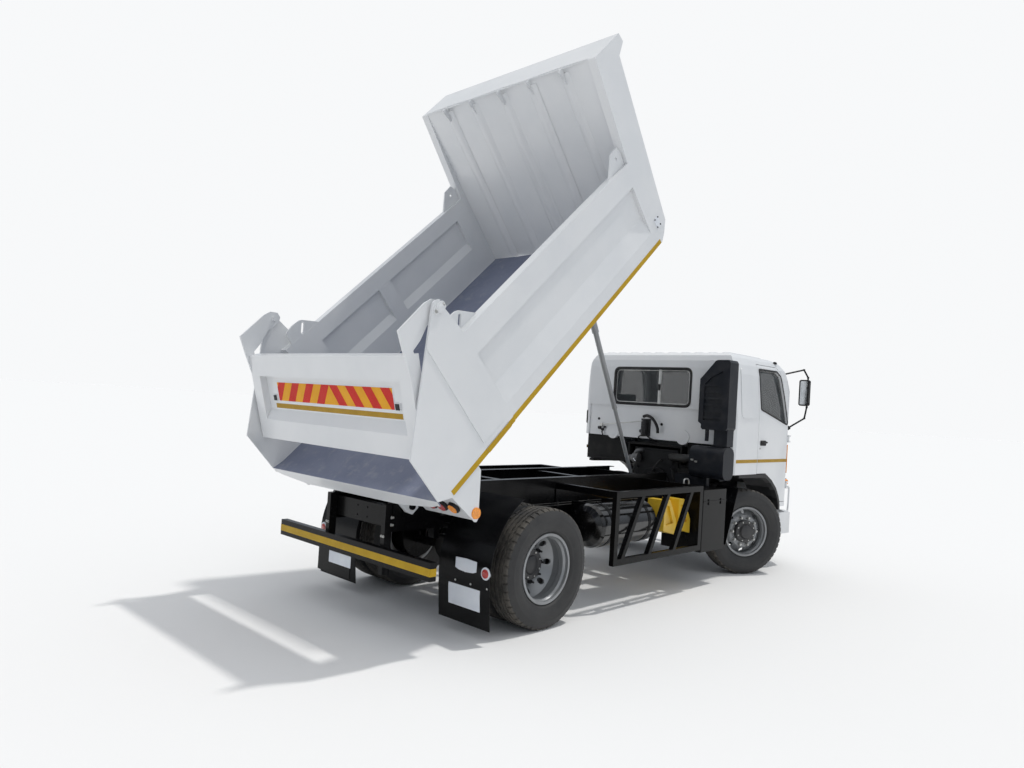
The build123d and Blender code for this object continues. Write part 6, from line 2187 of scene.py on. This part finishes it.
@dataclass
class Studio:
    """The floor, the lights and the camera at the photograph's place."""

    eye: Point = (-4.8815, -5.313, 1.8932)
    yaw: float = 0.7666
    pitch: float = 0.0254
    roll: float = 0.0619
    lens: float = 26.44
    floor_reach: float = 400.0
    floor_colour: Point = (0.78, 0.78, 0.78)
    backdrop: Point = (0.935, 0.945, 0.955)
    sky: tuple = ((0.0, (0.35, 0.37, 0.40)), (0.35, (0.63, 0.69, 0.77)), (1.0, (1.12, 1.12, 1.12)))
    sky_strength: float = 0.85
    sun_from: Point = (0.37, -0.12, 0.92)
    sun_size: float = 2.5
    sun_strength: float = 1.6
    sun_colour: Point = (1.0, 0.98, 0.94)
    sensor: float = 36.0
    far_clip: float = 200.0

    def build(self) -> None:
        """Make the studio."""
        self.make_floor()
        self.make_lights()
        self.make_camera()

    def make_floor(self) -> None:
        """A wide floor whose lit colour is the backdrop's white."""
        data = bpy.data.meshes.new("studio_floor")
        reach = self.floor_reach
        outline = [(-reach, -reach, 0), (reach, -reach, 0), (reach, reach, 0), (-reach, reach, 0)]
        data.from_pydata(outline, [], [(0, 1, 2, 3)])
        floor = bpy.data.objects.new("studio_floor", data)
        bpy.context.scene.collection.objects.link(floor)
        nodes = NodeSet("studio_floor")
        matt = nodes.surface(Base_Color=self.floor_colour, Roughness=1.0, Specular_IOR_Level=0.0)
        data.materials.append(matt)

    def make_lights(self) -> None:
        """A high sun from the front and slightly from the right, and a sky that is brighter overhead."""
        scene = bpy.context.scene
        nodes = NodeSet("studio_world", True)
        scene.world = nodes.owner
        place = nodes.node("ShaderNodeTexCoord").outputs["Generated"]
        height = nodes.node("ShaderNodeSeparateXYZ", None, {0: place}).outputs["Z"]
        sky = nodes.node("ShaderNodeValToRGB", {"stops": self.sky}, {0: height}).outputs[0]
        soft = nodes.node("ShaderNodeBackground", None, {"Color": sky, "Strength": self.sky_strength})
        seen = nodes.node("ShaderNodeBackground", None, {"Color": self.backdrop, "Strength": 1.0})
        path = nodes.node("ShaderNodeLightPath").outputs
        either = nodes.node("ShaderNodeMath", {"operation": "MAXIMUM"},
                            {0: path["Is Camera Ray"], 1: path["Is Transmission Ray"]})
        mixed = nodes.node("ShaderNodeMixShader", None,
                           {0: either.outputs[0], 1: soft.outputs[0], 2: seen.outputs[0]})
        nodes.feed(nodes.output.inputs["Surface"], mixed.outputs[0])
        lamp = bpy.data.lights.new("sun", "SUN")
        lamp.energy = self.sun_strength
        lamp.angle = math.radians(self.sun_size)
        lamp.color = self.sun_colour
        sun = bpy.data.objects.new("sun", lamp)
        scene.collection.objects.link(sun)
        sun.rotation_euler = (-Vector(self.sun_from)).to_track_quat("-Z", "Y").to_euler()

    def make_camera(self) -> None:
        """The camera fitted to the photograph."""
        forward = Vector((
            math.cos(self.yaw) * math.cos(self.pitch),
            math.sin(self.yaw) * math.cos(self.pitch),
            math.sin(self.pitch),
        ))
        level = Vector((math.sin(self.yaw), -math.cos(self.yaw), 0.0))
        upright = level.cross(forward)
        right = level * math.cos(self.roll) + upright * math.sin(self.roll)
        up = upright * math.cos(self.roll) - level * math.sin(self.roll)
        data = bpy.data.cameras.new("camera")
        data.lens = self.lens
        data.sensor_width = self.sensor
        data.clip_end = self.far_clip
        camera = bpy.data.objects.new("camera", data)
        bpy.context.scene.collection.objects.link(camera)
        turn = Matrix((right, up, -forward)).transposed().to_4x4()
        camera.matrix_world = TRUCK @ Matrix.Translation(self.eye) @ turn
        bpy.context.scene.camera = camera


def corners(box: tuple[Vector, Vector]) -> list[list[float]]:
    """A box as plain lists of numbers."""
    return [list(corner) for corner in box]


def main() -> None:
    """Build the truck's looks in order."""
    logging.basicConfig(level=logging.INFO, format="%(message)s")
    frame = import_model()
    bpy.context.scene.view_settings.view_transform = "Standard"
    finishes = Finishes()
    Dressing(frame, finishes).apply()
    Wheels(finishes).build()
    Stripes(finishes).build()
    TailTrim(finishes).build()
    CabTrim(frame, finishes).build()
    BinTrim(frame, finishes).build()
    ChassisTrim(frame, finishes).build()
    Seats(finishes).build()
    Studio().build()


if __name__ == "__main__":
    main()
